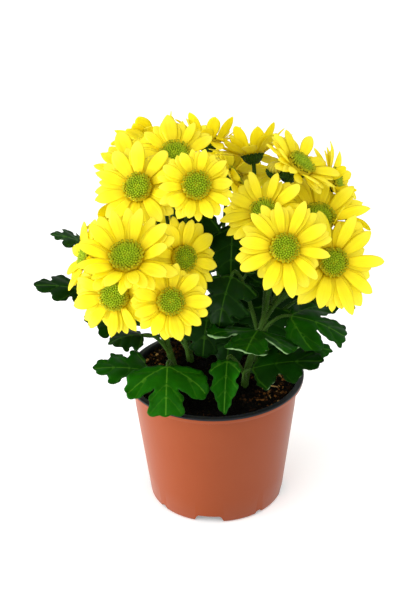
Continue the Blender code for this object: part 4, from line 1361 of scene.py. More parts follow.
@dataclass(frozen=True)
class Bloom:
    """One daisy bloom: where its hub is, where it faces, and its size."""

    name: str
    stem: str
    fork: float
    centre: Point
    azimuth: float
    elevation: float
    disc: float
    ray: float
    seed: int = 0
    rows: int = 14
    columns: int = 8
    hub_depth: float = 1.8
    hub_margin: float = 0.5
    hub_sides: int = 28
    ray_thickness: float = 0.32
    groove: float = 0.20
    widest: float = 0.54
    root_width: float = 0.44
    tip_width: float = 0.06
    filled: float = 0.62
    fill_width: float = 0.82
    closest: float = 0.12
    furthest: float = 0.75
    florets_per_mm: int = 14
    disc_rise: float = 0.44

    @property
    def facing(self) -> Vector:
        """The bloom's axis."""
        return direction(self.azimuth, self.elevation)

    def petal_lines(self) -> List[PetalLine]:
        """Reads every petal off the bloom's solid.

        Returns:
            One line for each petal.
        """
        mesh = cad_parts["rays_" + self.name].data
        index, points, names = {}, [], []
        for v in mesh.vertices:
            key = tuple(round(c * 1e5) for c in v.co)
            if key not in index:
                index[key] = len(points)
                points.append(v.co / METRES)
            names.append(index[key])
        centre, facing, reach = Vector(self.centre), self.facing, self.disc + self.hub_margin
        hub = set()
        for i, p in enumerate(points):
            height = (p - centre).dot(facing)
            flat = (p - centre - facing * height).length
            if flat < reach + 0.2 and -self.hub_depth - 0.1 < height < 0.1:
                hub.add(i)
        links: Dict[int, set] = {i: set() for i in range(len(points))}
        for polygon in mesh.polygons:
            ring = [names[i] for i in polygon.vertices]
            for a in ring:
                links[a].update(ring)
        left, found = set(range(len(points))) - hub, []
        while left:
            group, edge = set(), {min(left)}
            while edge:
                group |= edge
                edge = {n for i in edge for n in links[i]} - hub - group
            left -= group
            roots = {n for i in group for n in links[i] if n in hub}
            if len(group) == 8 and len(roots) >= 3:
                own = [points[i] for i in group]
                found.append(self.petal_line(own, [points[i] for i in sorted(roots)]))
        return found

    def petal_line(self, own: List[Vector], roots: List[Vector]) -> PetalLine:
        """Sorts one petal's points into cross-sections.

        Args:
            own: its eight points beyond the hub.
            roots: the hub's points that it joins.

        Returns:
            The petal's line.
        """
        centre, facing = Vector(self.centre), self.facing
        root = sum(roots, Vector((0, 0, 0))) / len(roots)
        own = sorted(own, key=lambda p: (p - root).length)
        places, sides, normals, widths = [], [], [], []
        for trio in (own[:3], own[3:6]):
            pairs = [(0, 1, 2), (0, 2, 1), (1, 2, 0)]
            a, b, keel = max(pairs, key=lambda q: (trio[q[0]] - trio[q[1]]).length)
            middle = (trio[a] + trio[b]) / 2
            places.append(middle)
            sides.append((trio[b] - trio[a]).normalized())
            normals.append((middle - trio[keel]).normalized())
            widths.append((trio[b] - trio[a]).length / 2)
        places.append((own[6] + own[7]) / 2)
        sides.append((own[7] - own[6]).normalized())
        normals.append(normals[1])
        out = places[0] - centre
        out = (out - facing * out.dot(facing)).normalized()
        cross = facing.cross(out)
        sides = [s if s.dot(cross) > 0 else -s for s in sides]
        rise = facing * ((root - centre).dot(facing) - 0.1)
        start = centre + out * (self.disc + self.hub_margin - 0.6) + rise
        places.insert(0, start)
        sides.insert(0, cross)
        normals.insert(0, facing.copy())
        return PetalLine(tuple(places), tuple(sides), tuple(normals), max(widths))

    def between(self, lines: Sequence[PetalLine]) -> List[PetalLine]:
        """Works out the lines of the rays that show between two neighbours.

        Args:
            lines: the solid petals' lines.

        Returns:
            One line for each pair of neighbours that stand close together.
        """
        centre, facing = Vector(self.centre), self.facing
        u, v = axes_about(facing)
        angle = {}
        for line in lines:
            arm = line.places[1] - centre
            angle[id(line)] = math.atan2(arm.dot(v), arm.dot(u))
        ordered = sorted(lines, key=lambda line: angle[id(line)])
        found = []
        for one, two in zip(ordered, ordered[1:] + ordered[:1]):
            gap = (angle[id(two)] - angle[id(one)]) % (2 * math.pi)
            if not self.closest < gap < self.furthest:
                continue
            spread = 1.0 / math.cos(gap / 2)
            places = []
            for k in range(4):
                middle = (one.places[k] + two.places[k]) / 2 - centre
                height = middle.dot(facing)
                sink = 0.35 * k if k < 3 else 0.9
                flat = (middle - facing * height) * spread
                places.append(centre + flat + facing * (height - sink))
            sides = tuple((a + b).normalized() for a, b in zip(one.sides, two.sides))
            normals = tuple((a + b).normalized() for a, b in zip(one.normals, two.normals))
            half = (one.half_width + two.half_width) / 2 * self.fill_width
            found.append(PetalLine(tuple(places), sides, normals, half))
        return found

    def width_share(self, t: float, point: float, blunt: float) -> float:
        """How wide a ray floret is, as a share of its widest.

        Args:
            t: 0 at the hub, 1 at the tip.
            point: larger for a rounder tip.
            blunt: smaller for a blunter tip.

        Returns:
            The share.
        """
        if t < self.widest:
            rise = math.sin(math.pi / 2 * t / self.widest) ** 1.1
            return self.root_width + (1.0 - self.root_width) * rise
        fall = 1.0 - ((t - self.widest) / (1.0 - self.widest)) ** point
        return self.tip_width + (1.0 - self.tip_width) * fall ** blunt

    def ray_floret(self, sheet: Patch, line: PetalLine, draw: random.Random,
                   share: float = 1.0) -> None:
        """Adds one ray floret: a thin closed blade with grooves and a notched tip.

        Args:
            sheet: what it is added to.
            line: the solid petal's line.
            draw: the random numbers.
            share: how much of the line it covers.
        """
        tone, cup, curl = draw.random(), draw.uniform(-0.10, 0.06), draw.uniform(-1.6, 0.8)
        wide, twist = draw.uniform(0.76, 1.0), draw.uniform(-0.16, 0.16)
        blunt, notch = draw.uniform(0.5, 0.8), draw.uniform(0.0, 0.035)
        skew, point = draw.uniform(-0.03, 0.03), draw.uniform(1.7, 2.5)
        reach = draw.uniform(0.93, 1.07) * share
        grid = []
        for i in range(self.rows + 1):
            t = 1.0 - (1.0 - i / self.rows) ** 1.4
            row = []
            for j in range(self.columns + 1):
                u = 2.0 * j / self.columns - 1.0
                tip = 1.0 - notch * (0.5 - 0.5 * math.cos(3.0 * math.pi * u)) - skew * u
                s = t * 1.05 * tip * reach
                place, side, normal = line.at(s)
                half = line.half_width * wide * self.width_share(t, point, blunt)
                ease = math.sin(math.pi * min(1.0, s)) ** 0.5 if 0 < s < 1 else 0.0
                groove = self.groove * math.cos(3.0 * math.pi * u) * ease
                bend = curl * max(0.0, s - 0.5) ** 2 * 4.0
                cupped = cup * half * u * u * 1.6 * min(1.0, s * 2.5)
                rise = cupped + groove + bend + twist * u * half * s
                row.append((place + side * (half * u) + normal * rise, normal, t, u))
            grid.append(row)
        top, bottom, verts, marks = [], [], [], []
        for i, row in enumerate(grid):
            top.append([])
            bottom.append([])
            for j, (place, normal, t, u) in enumerate(row):
                top[i].append(len(verts))
                verts.append(place)
                marks.append((t, u, 0.0, tone))
                if i in (0, self.rows) or j in (0, self.columns):
                    bottom[i].append(top[i][j])
                    continue
                bottom[i].append(len(verts))
                verts.append(place - normal * self.ray_thickness)
                marks.append((t, u, 1.0, tone))
        faces = []
        for i in range(self.rows):
            for j in range(self.columns):
                faces.append((top[i][j], top[i + 1][j], top[i + 1][j + 1], top[i][j + 1]))
                faces.append((bottom[i][j], bottom[i][j + 1],
                              bottom[i + 1][j + 1], bottom[i + 1][j]))
        a, b, c = verts[top[2][2]], verts[top[3][2]], verts[top[2][3]]
        if (b - a).cross(c - a).dot(grid[2][2][1]) < 0:
            faces = [tuple(reversed(face)) for face in faces]
        sheet.add(verts, faces, **dict(zip(("along", "across", "under", "tone"), zip(*marks))))

    def build(self, florets: FloretGrower, dresser: Dresser) -> None:
        """Builds the rays and the disc.

        Args:
            florets: the tree of disc florets.
            dresser: makes the pieces.
        """
        draw = random.Random(900 + self.seed)
        sheet, lines = Patch(), self.petal_lines()
        for line in lines:
            self.ray_floret(sheet, line, draw)
        for line in self.between(lines):
            if draw.random() < self.filled:
                self.ray_floret(sheet, line, draw, draw.uniform(0.76, 0.93))
        self.add_hub(sheet)
        name = "bloom_" + self.name
        dresser.place(name + "_rays", sheet.mesh("rays"), "ray_yellow", "rays_" + self.name)
        mesh = florets.grow(
            "florets", None, Count=int(self.disc * self.florets_per_mm), Radius=self.disc * METRES,
            Rise=self.disc * self.disc_rise * METRES, Seed=self.seed,
            Material=dresser.paint["disc_green"])
        mesh.transform(stand_on(Vector(self.centre), self.facing))
        dresser.place(name + "_florets", mesh, "disc_green", "disc_" + self.name)

    def add_hub(self, sheet: Patch) -> None:
        """Adds the receptacle that carries the rays and the florets.

        Args:
            sheet: what it is added to.
        """
        reach = self.disc + self.hub_margin
        profile = [
            (0.0, -self.hub_depth), (reach * 0.8, -self.hub_depth),
            (reach * 0.96, -self.hub_depth * 0.8), (reach, -0.9), (reach * 0.97, 0.0),
            (reach * 0.9, self.disc * 0.10), (reach * 0.7, self.disc * 0.26),
            (reach * 0.4, self.disc * 0.36), (0.0, self.disc * 0.38),
        ]
        verts, faces = revolve(profile, self.hub_sides)
        turn = stand_on(Vector(self.centre), self.facing)
        none = [0.0] * len(verts)
        sheet.add([turn @ (v * METRES) / METRES for v in verts], faces, along=none, across=none,
                  under=none, tone=[0.2] * len(verts))


@dataclass(frozen=True)
class Bud:
    """One closed bud on its stalk."""

    name: str
    stem: str
    fork: float
    centre: Point
    azimuth: float
    elevation: float
    radius: float
    folds: int = 13
    sides: int = 104
    rows: int = 16

    @property
    def facing(self) -> Vector:
        """The bud's axis."""
        return direction(self.azimuth, self.elevation)

    def build(self, dresser: Dresser) -> None:
        """Builds the pleated dome of young rays.

        Args:
            dresser: makes the piece.
        """
        profile = [(0.0, 0.0)]
        for i in range(self.rows):
            t = i / (self.rows - 1)
            angle = math.radians(-28 + 112 * t)
            rise = 0.48 + math.sin(angle) * 0.62
            profile.append((math.cos(angle) * self.radius, rise * self.radius))
        profile.append((0.0, profile[-1][1] - 0.25))
        verts, faces = revolve(profile, self.sides)
        turn = stand_on(Vector(self.centre), self.facing)
        along, across, placed = [], [], []
        for v in verts:
            angle = math.atan2(v.y, v.x)
            reach = math.hypot(v.x, v.y)
            crease = abs(math.sin(angle * self.folds / 2 + v.z * 0.22)) ** 0.6
            pull = 1.0 - 0.2 * (1.0 - crease)
            along.append(v.z / self.radius)
            across.append(crease if reach > 1e-6 else 0.3)
            placed.append(turn @ (Vector((v.x * pull, v.y * pull, v.z)) * METRES) / METRES)
        dome = Patch()
        dome.add(placed, faces, along=along, across=across)
        dresser.place(self.name + "_rays", dome.mesh("bud"), "bud_yellow_green", self.name)


# Stems and leaves

class LeafKind(Enum):
    """The outlines that a leaf can have."""

    LOBED = "lobed"
    PLAIN = "plain"
    PALMATE = "palmate"


# Half of each outline: share of the length, share of the half width
HALF_OUTLINES = {
    LeafKind.LOBED: (
        (0.02, 0.06), (0.10, 0.42), (0.15, 0.80), (0.28, 1.00), (0.38, 0.84), (0.43, 0.50),
        (0.53, 0.78), (0.64, 0.90), (0.73, 0.70), (0.75, 0.40), (0.86, 0.46), (0.95, 0.26),
    ),
    LeafKind.PLAIN: (
        (0.02, 0.07), (0.13, 0.70), (0.34, 1.00), (0.46, 0.72), (0.62, 0.88), (0.77, 0.55),
        (0.91, 0.36),
    ),
    LeafKind.PALMATE: (
        (0.02, 0.05), (0.01, 0.42), (0.10, 0.86), (0.33, 0.98), (0.52, 1.00), (0.68, 0.84),
        (0.62, 0.54), (0.51, 0.29), (0.70, 0.42), (0.82, 0.39), (0.95, 0.44),
    ),
}
# The two ends of each side vein, in the same shares
SIDE_VEINS = {
    LeafKind.LOBED: (
        ((0.05, 0.0), (0.27, 0.92)), ((0.36, 0.0), (0.63, 0.82)), ((0.11, 0.26), (0.15, 0.68)),
        ((0.62, 0.0), (0.85, 0.38)),
    ),
    LeafKind.PLAIN: (
        ((0.06, 0.0), (0.33, 0.92)), ((0.34, 0.0), (0.61, 0.78)), ((0.60, 0.0), (0.76, 0.42)),
        ((0.14, 0.28), (0.14, 0.60)),
    ),
    LeafKind.PALMATE: (
        ((0.03, 0.0), (0.52, 0.92)), ((0.42, 0.0), (0.72, 0.36)), ((0.16, 0.24), (0.14, 0.78)),
        ((0.30, 0.50), (0.64, 0.74)), ((0.66, 0.0), (0.92, 0.36)),
    ),
}


@dataclass(frozen=True)
class Leaf:
    """One leaf: its stalk starts on the trunk, its blade runs from base to tip."""

    name: str
    height: float
    base: Point
    tip: Point
    width: float
    fold: float
    roll: float
    arch: float
    kind: LeafKind
    curl: float = 0.4
    # How far the leaf's tone leans to the lighter green. The inner m and n leaves take -0.1, which
    # is painted shade: they stand in the shade inside the plant.
    lighter_green: float = 0.4
    grid: float = 1.75
    thickness: float = 0.55
    tooth_pitch: Tuple[float, float] = (6.0, 8.5)
    tooth_depth: float = 1.5
    vein_half: float = 0.9
    vein_step: float = 1.6
    puff: float = 0.9
    puff_reach: float = 2.6
    curl_reach: float = 4.5
    rim_taper: float = 1.2
    rim_tone: float = 0.42

    def frame_of(self, tip: Vector) -> Tuple[Vector, Vector, Vector]:
        """The blade's run, side and upper normal.

        Args:
            tip: where the blade ends.

        Returns:
            The three vectors.
        """
        run = tip - Vector(self.base)
        forward = run.normalized()
        side = Matrix.Rotation(math.radians(self.roll), 3, forward) @ level_side(forward)
        return run, side, side.cross(forward).normalized()

    def spot(self, tip: Vector, half: float, along: float, across: float,
             lift: float = 0.0) -> Vector:
        """A point on the middle of the blade.

        Args:
            tip: where the blade ends.
            half: the half width.
            along: 0 at the base, 1 at the tip.
            across: -1 to 1.
            lift: height above the plain surface.

        Returns:
            The point.
        """
        run, side, normal = self.frame_of(tip)
        fold = math.radians(self.fold)
        bulge = self.arch * run.length * 4 * along * (1 - along)
        rise = bulge + abs(across) * half * math.sin(fold) + lift
        flat = Vector(self.base) + run * along + side * (across * half * math.cos(fold))
        return flat + normal * rise

    def settle(self, tree: KDTree) -> Tuple[Vector, float]:
        """Finds how far the solid leaf was turned and shortened.

        Args:
            tree: the solid stem's points.

        Returns:
            The tip and the scale.
        """
        base = Vector(self.base)
        run = Vector(self.tip) - base
        across = level_side(run)
        rim = HALF_OUTLINES[self.kind][2:5]
        probes = [(1.0, 0.0)] + [(s, w * k) for s, w in rim for k in (-1, 1)]
        best = (1e9, Vector(self.tip), 1.0)
        for scale in (1.0, 0.92, 0.84, 0.76, 0.66):
            for lift in (0, 8, -8, 16, -16, 26, -26, 38, -38):
                for swing in (0, 9, -9, 18, -18, 30, -30):
                    turn = Matrix.Rotation(math.radians(swing), 3, "Z")
                    turn = turn @ Matrix.Rotation(math.radians(lift), 3, across)
                    tip = base.lerp(base + turn @ run, scale)
                    if tree.find(tip)[2] > 1.0:
                        continue
                    half = self.width * scale / 2
                    miss = max(tree.find(self.spot(tip, half, s, w))[2] for s, w in probes)
                    if miss < best[0] - 0.02:
                        best = (miss, tip, scale)
        LOG.info("leaf %s: %.2f mm from its solid", self.name, best[0])
        return best[1], best[2]

    def flat_outline(self, length: float, half: float, draw: random.Random) -> List[Vector]:
        """The blade's toothed rim, flat and in millimetres.

        Args:
            length: from base to tip.
            half: half the width.
            draw: the random numbers.

        Returns:
            The rim's points.
        """
        right = [Vector((s * length, w * half)) for s, w in HALF_OUTLINES[self.kind]]
        left = [Vector((p.x, -p.y)) for p in right]
        line = catmull(left + [Vector((length, 0.0))] + list(reversed(right)), 7)
        loop, run, pitch = [line[0]], 0.0, draw.uniform(*self.tooth_pitch)
        for i in range(1, len(line) - 1):
            run += (line[i] - line[i - 1]).length
            tangent = (line[i + 1] - line[i - 1]).normalized()
            outward = Vector((tangent.y, -tangent.x))
            tooth = 1.0 - abs((run / pitch) % 1.0 - 0.5) * 2.0
            ease = min(1.0, run / 12.0) if i < len(line) / 2 else 1.0
            loop.append(line[i] + outward * ((tooth ** 0.7 - 0.5) * self.tooth_depth * ease))
        loop.append(line[-1])
        return loop

    def flat_veins(self, length: float, half: float) -> List[List[Vector]]:
        """The midrib and the side veins, flat and in millimetres.

        Args:
            length: from base to tip.
            half: half the width.

        Returns:
            The midrib's points, then each side vein's.
        """
        veins = [[Vector((length * t / 30, 0.0)) for t in range(1, 30)]]
        for (s0, w0), (s1, w1) in SIDE_VEINS[self.kind]:
            for mirror in (-1, 1):
                a = Vector((s0 * length, w0 * half * mirror))
                b = Vector((s1 * length, w1 * half * mirror))
                steps = max(2, int((b - a).length / self.vein_step))
                sag = Vector((1.0, 0.0)) * (b - a).length * 0.06
                shares = [k / steps for k in range(steps + 1)]
                veins.append([a.lerp(b, t) - sag * 4 * t * (1 - t) for t in shares])
        return veins

    def flat_mesh(self, length: float, half: float, loop: List[Vector],
                  veins: List[List[Vector]]) -> Tuple[List[Vector], List[Face]]:
        """Cuts the blade into small triangles.

        Args:
            length: from base to tip.
            half: half the width.
            loop: the rim's points.
            veins: the veins' points.

        Returns:
            Points and triangles.
        """
        near = point_tree(loop + [p for vein in veins for p in vein])
        points, edges = list(loop), [(i, (i + 1) % len(loop)) for i in range(len(loop))]
        for vein in veins:
            inside = [p for p in vein if within(p, loop)]
            first = len(points)
            points.extend(inside)
            edges.extend((first + k, first + k + 1) for k in range(len(inside) - 1)
                         if (inside[k + 1] - inside[k]).length < 4.0)
        pitch = self.grid * 0.87
        rows = int(2 * half / pitch) + 1
        for r in range(-rows // 2, rows // 2 + 1):
            for c in range(int(length / self.grid) + 1):
                p = Vector(((c + 0.5 * (r % 2)) * self.grid, r * self.grid * 0.87))
                if near.find(p.to_3d())[2] > self.grid * 0.55 and within(p, loop):
                    points.append(p)
        found = delaunay_2d_cdt(points, edges, [tuple(range(len(loop)))], 1, 1e-4)
        return found[0], found[2]

    def build_blade(self, sheet: Patch, tip: Vector, scale: float, draw: random.Random) -> None:
        """Adds the blade: thin, closed, veined and wavy.

        Args:
            sheet: what it is added to.
            tip: where the blade ends.
            scale: how much the leaf was shortened.
            draw: the random numbers.
        """
        length, half = (tip - Vector(self.base)).length, self.width * scale / 2
        loop, veins = self.flat_outline(length, half, draw), self.flat_veins(length, half)
        points, faces = self.flat_mesh(length, half, loop, veins)
        strength = [1.0 if k == 0 else (0.75 if k < 3 else 0.2)
                    for k, vein in enumerate(veins) for _ in vein]
        vein_tree = point_tree([p for vein in veins for p in vein])
        rim_tree = point_tree(loop)
        phase, tone, wave = draw.uniform(0, 6.3), draw.random(), draw.uniform(0.7, 1.5)
        middle, vein_mark, rim_mark, rank = [], [], [], []
        for p in points:
            _, nearest, to_vein = vein_tree.find(p.to_3d())
            to_rim = rim_tree.find(p.to_3d())[2]
            s, w = p.x / length, p.y / half
            puff = self.puff * (1.0 - math.exp(-(to_vein / self.puff_reach) ** 2))
            ripple = wave * math.sin(p.x * 0.33 + phase + (2.0 if w > 0 else 0.0)) * w * w
            turned = self.curl * max(0.0, 1.0 - to_rim / self.curl_reach) ** 2 * min(1.0, s * 6.0)
            turned *= 0.7 + 0.3 * math.sin(p.x * 0.45 + p.y * 0.31 + phase)
            middle.append(self.spot(tip, half, s, w, puff + ripple + turned))
            vein_mark.append(max(0.0, 1.0 - to_vein / self.vein_half))
            rank.append(strength[nearest])
            rim_mark.append(to_rim)
        upper, normals = self.upward(middle, faces, tip)
        names, verts = [], list(middle)
        for i, (p, n) in enumerate(zip(middle, normals)):
            if rim_mark[i] < 0.02:
                names.append(i)
                continue
            names.append(len(verts))
            share = min(1.0, rim_mark[i] / self.rim_taper)
            verts.append(p - n.normalized() * self.thickness * share)
        below = [i for i, name in enumerate(names) if name != i]
        under = [self.rim_tone if mark < 0.02 else 0.0 for mark in rim_mark] + [1.0] * len(below)
        lower = [tuple(names[i] for i in reversed(face)) for face in upper]
        # The leaf's tone carries the painted shade of the inner leaves.
        sheet.add(verts, upper + lower, vein=vein_mark + [vein_mark[i] for i in below],
                  rank=rank + [rank[i] for i in below], under=under,
                  tone=[self.lighter_green + (tone - 0.5) * 0.3] * len(verts))

    def upward(self, points: List[Vector], faces: Sequence[Sequence[int]],
               tip: Vector) -> Tuple[List[Face], List[Vector]]:
        """Turns triangles so that they face up.

        Args:
            points: the blade's points.
            faces: the triangles.
            tip: where the blade ends.

        Returns:
            The turned triangles, and a normal for each point.
        """
        normal, turned = self.frame_of(tip)[2], []
        normals = [Vector((0, 0, 0)) for _ in points]
        for a, b, c in faces:
            area = (points[b] - points[a]).cross(points[c] - points[a])
            if area.dot(normal) < 0:
                b, c, area = c, b, -area
            turned.append((a, b, c))
            for i in (a, b, c):
                normals[i] += area
        return turned, normals

    def stalk_path(self, root: Vector, tip: Vector) -> List[Vector]:
        """The leaf stalk's line, from the trunk to the blade.

        Args:
            root: where it leaves the trunk.
            tip: where the blade ends.

        Returns:
            Ten points along it.
        """
        run = (tip - Vector(self.base)).normalized()
        mouth = self.spot(tip, self.width / 2, 0.05, 0.0, -0.3)
        bend = mouth - run * (root - mouth).length * 0.35
        shares = [k / 9 for k in range(10)]
        return [root * (1 - t) ** 2 + bend * 2 * t * (1 - t) + mouth * t * t for t in shares]


def within(p: Vector, loop: Sequence[Vector]) -> bool:
    """True where a flat point lies inside a closed line.

    Args:
        p: the point.
        loop: the line's points.

    Returns:
        Whether it is inside.
    """
    inside, last = False, loop[-1]
    for here in loop:
        if (here.y > p.y) != (last.y > p.y):
            if p.x < (last.x - here.x) * (p.y - here.y) / (last.y - here.y) + here.x:
                inside = not inside
        last = here
    return inside


@dataclass(frozen=True)
class Stem:
    """One rooted cutting with its flower stalks and leaves."""

    name: str
    foot: Tuple[float, float]
    top: Point
    leaves: Tuple[Leaf, ...]
    foot_height: float = 70.0
    soil_height: float = 87.0
    trunk_radius: float = 2.75
    trunk_taper: float = 0.85
    leaf_stalk_radius: float = 1.35
    leaf_stalk_taper: float = 0.45
    cup_depth: float = 5.4
    cup_width: float = 0.74
    cup: Tuple[Tuple[float, float], ...] = (
        (0.12, 0.30), (0.3, 0.62), (0.55, 0.86), (0.8, 0.98), (1.0, 1.0))

    def axis(self) -> List[Vector]:
        """Draws the trunk.

        Returns:
            Its four main points.
        """
        foot = Vector((*self.foot, self.foot_height))
        collar = foot + Vector((0, 0, self.soil_height - self.foot_height + 4.0))
        top = Vector(self.top)
        return [foot, collar, collar.lerp(top, 0.5) + Vector((0, 0, 3.0)), top]

    def at_height(self, height: float) -> Vector:
        """Finds where the trunk passes a height.

        Args:
            height: the height.

        Returns:
            The place, or the trunk's top for a height that it doesn't pass.
        """
        axis = self.axis()
        for low, high in zip(axis, axis[1:]):
            if low.z <= height <= high.z:
                return low.lerp(high, (height - low.z) / (high.z - low.z))
        return axis[-1].copy()

    def flower_stalk(self, head: Union[Bloom, Bud]) -> Line:
        """The stalk that carries a bloom or a bud, with the cup at its end.

        Args:
            head: the bloom or bud.

        Returns:
            Points and radii along it.
        """
        facing, start, centre = head.facing, self.at_height(head.fork - 2.0), Vector(head.centre)
        if isinstance(head, Bloom):
            top, depth, width = centre - facing * 2.1, self.cup_depth, head.disc * self.cup_width
        else:
            top, depth, width = centre - facing * 0.3, head.radius, head.radius * 0.95
        neck = top - facing * depth
        reach = (neck - start).length
        rise = ((neck - start).normalized() + UP).normalized()
        one, two = start + rise * reach * 0.38, neck - facing * min(reach * 0.34, 26.0)
        path = [bezier(start, one, two, neck, k / 14) for k in range(15)]
        radii = [1.6 - 0.5 * math.sin(math.pi / 2 * min(1.0, k / 8)) + 0.25 * (k / 14) ** 4
                 for k in range(15)]
        for share, wide in self.cup:
            path.append(neck + facing * depth * share)
            radii.append(max(1.4, width * wide))
        return path, radii

    def build(self, heads: Sequence[Union[Bloom, Bud]], trees: Dict[str, Grower],
              dresser: Dresser) -> None:
        """Builds the stalks with their hairs, the cup scales and the leaves.

        Args:
            heads: the stem's blooms and buds.
            trees: the trees of stalks, hairs and scales.
            dresser: makes the pieces.
        """
        draw = random.Random(sum(ord(c) for c in self.name))
        trunk = catmull(self.axis(), 6)
        last = len(trunk) - 1
        radii = [self.trunk_radius - self.trunk_taper * k / last for k in range(last + 1)]
        lines = [(trunk, radii)] + [self.flower_stalk(head) for head in heads]
        tree, blades = point_tree(node_points(self.name)), Patch()
        for leaf in self.leaves:
            tip, scale = leaf.settle(tree)
            leaf.build_blade(blades, tip, scale, draw)
            path = leaf.stalk_path(self.at_height(leaf.height), tip)
            radii = [self.leaf_stalk_radius - self.leaf_stalk_taper * k / 9 for k in range(10)]
            lines.append((path, radii))
        dresser.place(self.name + "_blades", blades.mesh("blades"), "leaf_green", self.name)
        green, pale = dresser.paint["stalk_green"], dresser.paint["stalk_down"]
        mesh = trees["stalks"].grow("stalks", line_mesh(lines), Ribs=5, Depth=0.10, Sides=15,
                                    Material=green)
        hairs = trees["down"].grow("down", mesh.copy(), Density=900000.0, Length=0.0008,
                                   Thickness=0.00004, Seed=17, Material=pale)
        dresser.place(self.name + "_stalks", mesh, "stalk_green", self.name)
        dresser.place(self.name + "_down", hairs, "stalk_down")
        mesh = trees["scales"].grow("scales", self.cup_mesh(heads), Scales=17, Material=green)
        mesh.shade_smooth()
        dresser.place(self.name + "_cup_scales", mesh, "stalk_green", self.name)

    @staticmethod
    def cup_mesh(heads: Sequence[Union[Bloom, Bud]]) -> bpy.types.Mesh:
        """A point for each cup, with its size and where it faces.

        Args:
            heads: the stem's blooms and buds.

        Returns:
            The mesh, in metres.
        """
        cups = bpy.data.meshes.new("cups")
        places = [(Vector(h.centre) - h.facing * 0.6) * METRES for h in heads]
        cups.from_pydata([tuple(place) for place in places], [], [])
        sizes = [(h.disc if isinstance(h, Bloom) else h.radius * 1.12) * METRES for h in heads]
        cups.attributes.new("size", "FLOAT", "POINT").data.foreach_set("value", sizes)
        flat = [c for h in heads for c in h.facing]
        cups.attributes.new("facing", "FLOAT_VECTOR", "POINT").data.foreach_set("vector", flat)
        return cups


def line_mesh(lines: Sequence[Line]) -> bpy.types.Mesh:
    """Lines as a mesh of edges with a thickness on each point.

    Args:
        lines: points and radii in millimetres.

    Returns:
        The mesh, in metres.
    """
    verts, edges, thick = [], [], []
    for path, radii in lines:
        first = len(verts)
        verts.extend(tuple(p * METRES) for p in path)
        thick.extend(r * METRES for r in radii)
        edges.extend((first + k, first + k + 1) for k in range(len(path) - 1))
    mesh = bpy.data.meshes.new("lines")
    mesh.from_pydata(verts, edges, [])
    mesh.attributes.new("thick", "FLOAT", "POINT").data.foreach_set("value", thick)
    return mesh


# Stage

@dataclass(frozen=True)
class Lamp:
    """One rectangular soft light: its place and size in millimetres, its power in watts."""

    name: str
    place: Point
    width: float
    height: float
    power: float
    aim_height: float = 130.0

    def build(self) -> None:
        """Makes the light, aimed at the plant or level with itself where it stands lower."""
        data = bpy.data.lights.new(self.name, "AREA")
        data.shape = "RECTANGLE"
        data.size = self.width * METRES
        data.size_y = self.height * METRES
        data.energy = self.power
        made = add_object(self.name, data)
        made.location = Vector(self.place) * METRES
        aim = Vector((0, 0, min(self.aim_height, self.place[2]))) - Vector(self.place)
        made.rotation_mode = "QUATERNION"
        made.rotation_quaternion = aim.to_track_quat("-Z", "Y")


@dataclass(frozen=True)
class Studio:
    """The plain floor, the soft light and the photograph's camera."""

    focal_pixels: float = 1367.0
    picture_height: float = 612.0
    sensor: float = 36.0
    pitch: float = 28.0
    roll: float = 1.03
    distance: float = 900.0
    aim: Point = (-6.3, 0.0, 141.7)
    floor_half: float = 5000.0
    floor_drop: float = 0.4
    sky: float = 1.03
    lamps: Tuple[Lamp, ...] = (
        Lamp("key", (-520.0, -620.0, 900.0), 900.0, 900.0, 3.9),
        Lamp("side", (-1150.0, -200.0, 72.0), 560.0, 120.0, 14.0),
        Lamp("fill", (820.0, -900.0, 620.0), 900.0, 900.0, 2.1),
    )

    def camera(self) -> None:
        """Makes the scene's camera at the photograph's angle."""
        pitch, roll = math.radians(self.pitch), math.radians(self.roll)
        forward = Vector((0, math.cos(pitch), -math.sin(pitch)))
        right = Vector((1, 0, 0))
        up = right.cross(forward)
        x_axis = right * math.cos(roll) - up * math.sin(roll)
        y_axis = right * math.sin(roll) + up * math.cos(roll)
        place = Matrix((x_axis, y_axis, -forward)).transposed().to_4x4()
        place.translation = (Vector(self.aim) - forward * self.distance) * METRES
        data = bpy.data.cameras.new("camera")
        data.sensor_width = self.sensor
        data.lens = self.focal_pixels * self.sensor / self.picture_height
        made = add_object("camera", data)
        made.matrix_world = place
        bpy.context.scene.camera = made

    def light(self) -> None:
        """Makes a white sky, a key light from the upper left, a low side light and a fill."""
        world = bpy.data.worlds.new("studio")
        world.use_nodes = True
        sky = world.node_tree.nodes["Background"]
        sky.inputs["Color"].default_value = (1.0, 1.0, 1.0, 1.0)
        sky.inputs["Strength"].default_value = self.sky
        bpy.context.scene.world = world
        for lamp in self.lamps:
            lamp.build()

    def floor(self, dresser: Dresser) -> None:
        """Lays the floor just under the pot.

        Args:
            dresser: has its material.
        """
        half = self.floor_half
        corners = ((-half, -half), (half, -half), (half, half), (-half, half))
        sheet = Patch()
        sheet.add([Vector((x, y, -self.floor_drop)) for x, y in corners], [(0, 1, 2, 3)])
        floor = add_object("floor", sheet.mesh("floor", False))
        floor.data.materials.append(dresser.paint["floor_white"])

    def build(self, dresser: Dresser) -> None:
        """Makes the camera, the lights and the floor.

        Args:
            dresser: has the floor's material.
        """
        self.camera()
        self.light()
        self.floor(dresser)
        bpy.context.scene.view_settings.view_transform = "Standard"


# The plant's own sizes, in millimetres and degrees

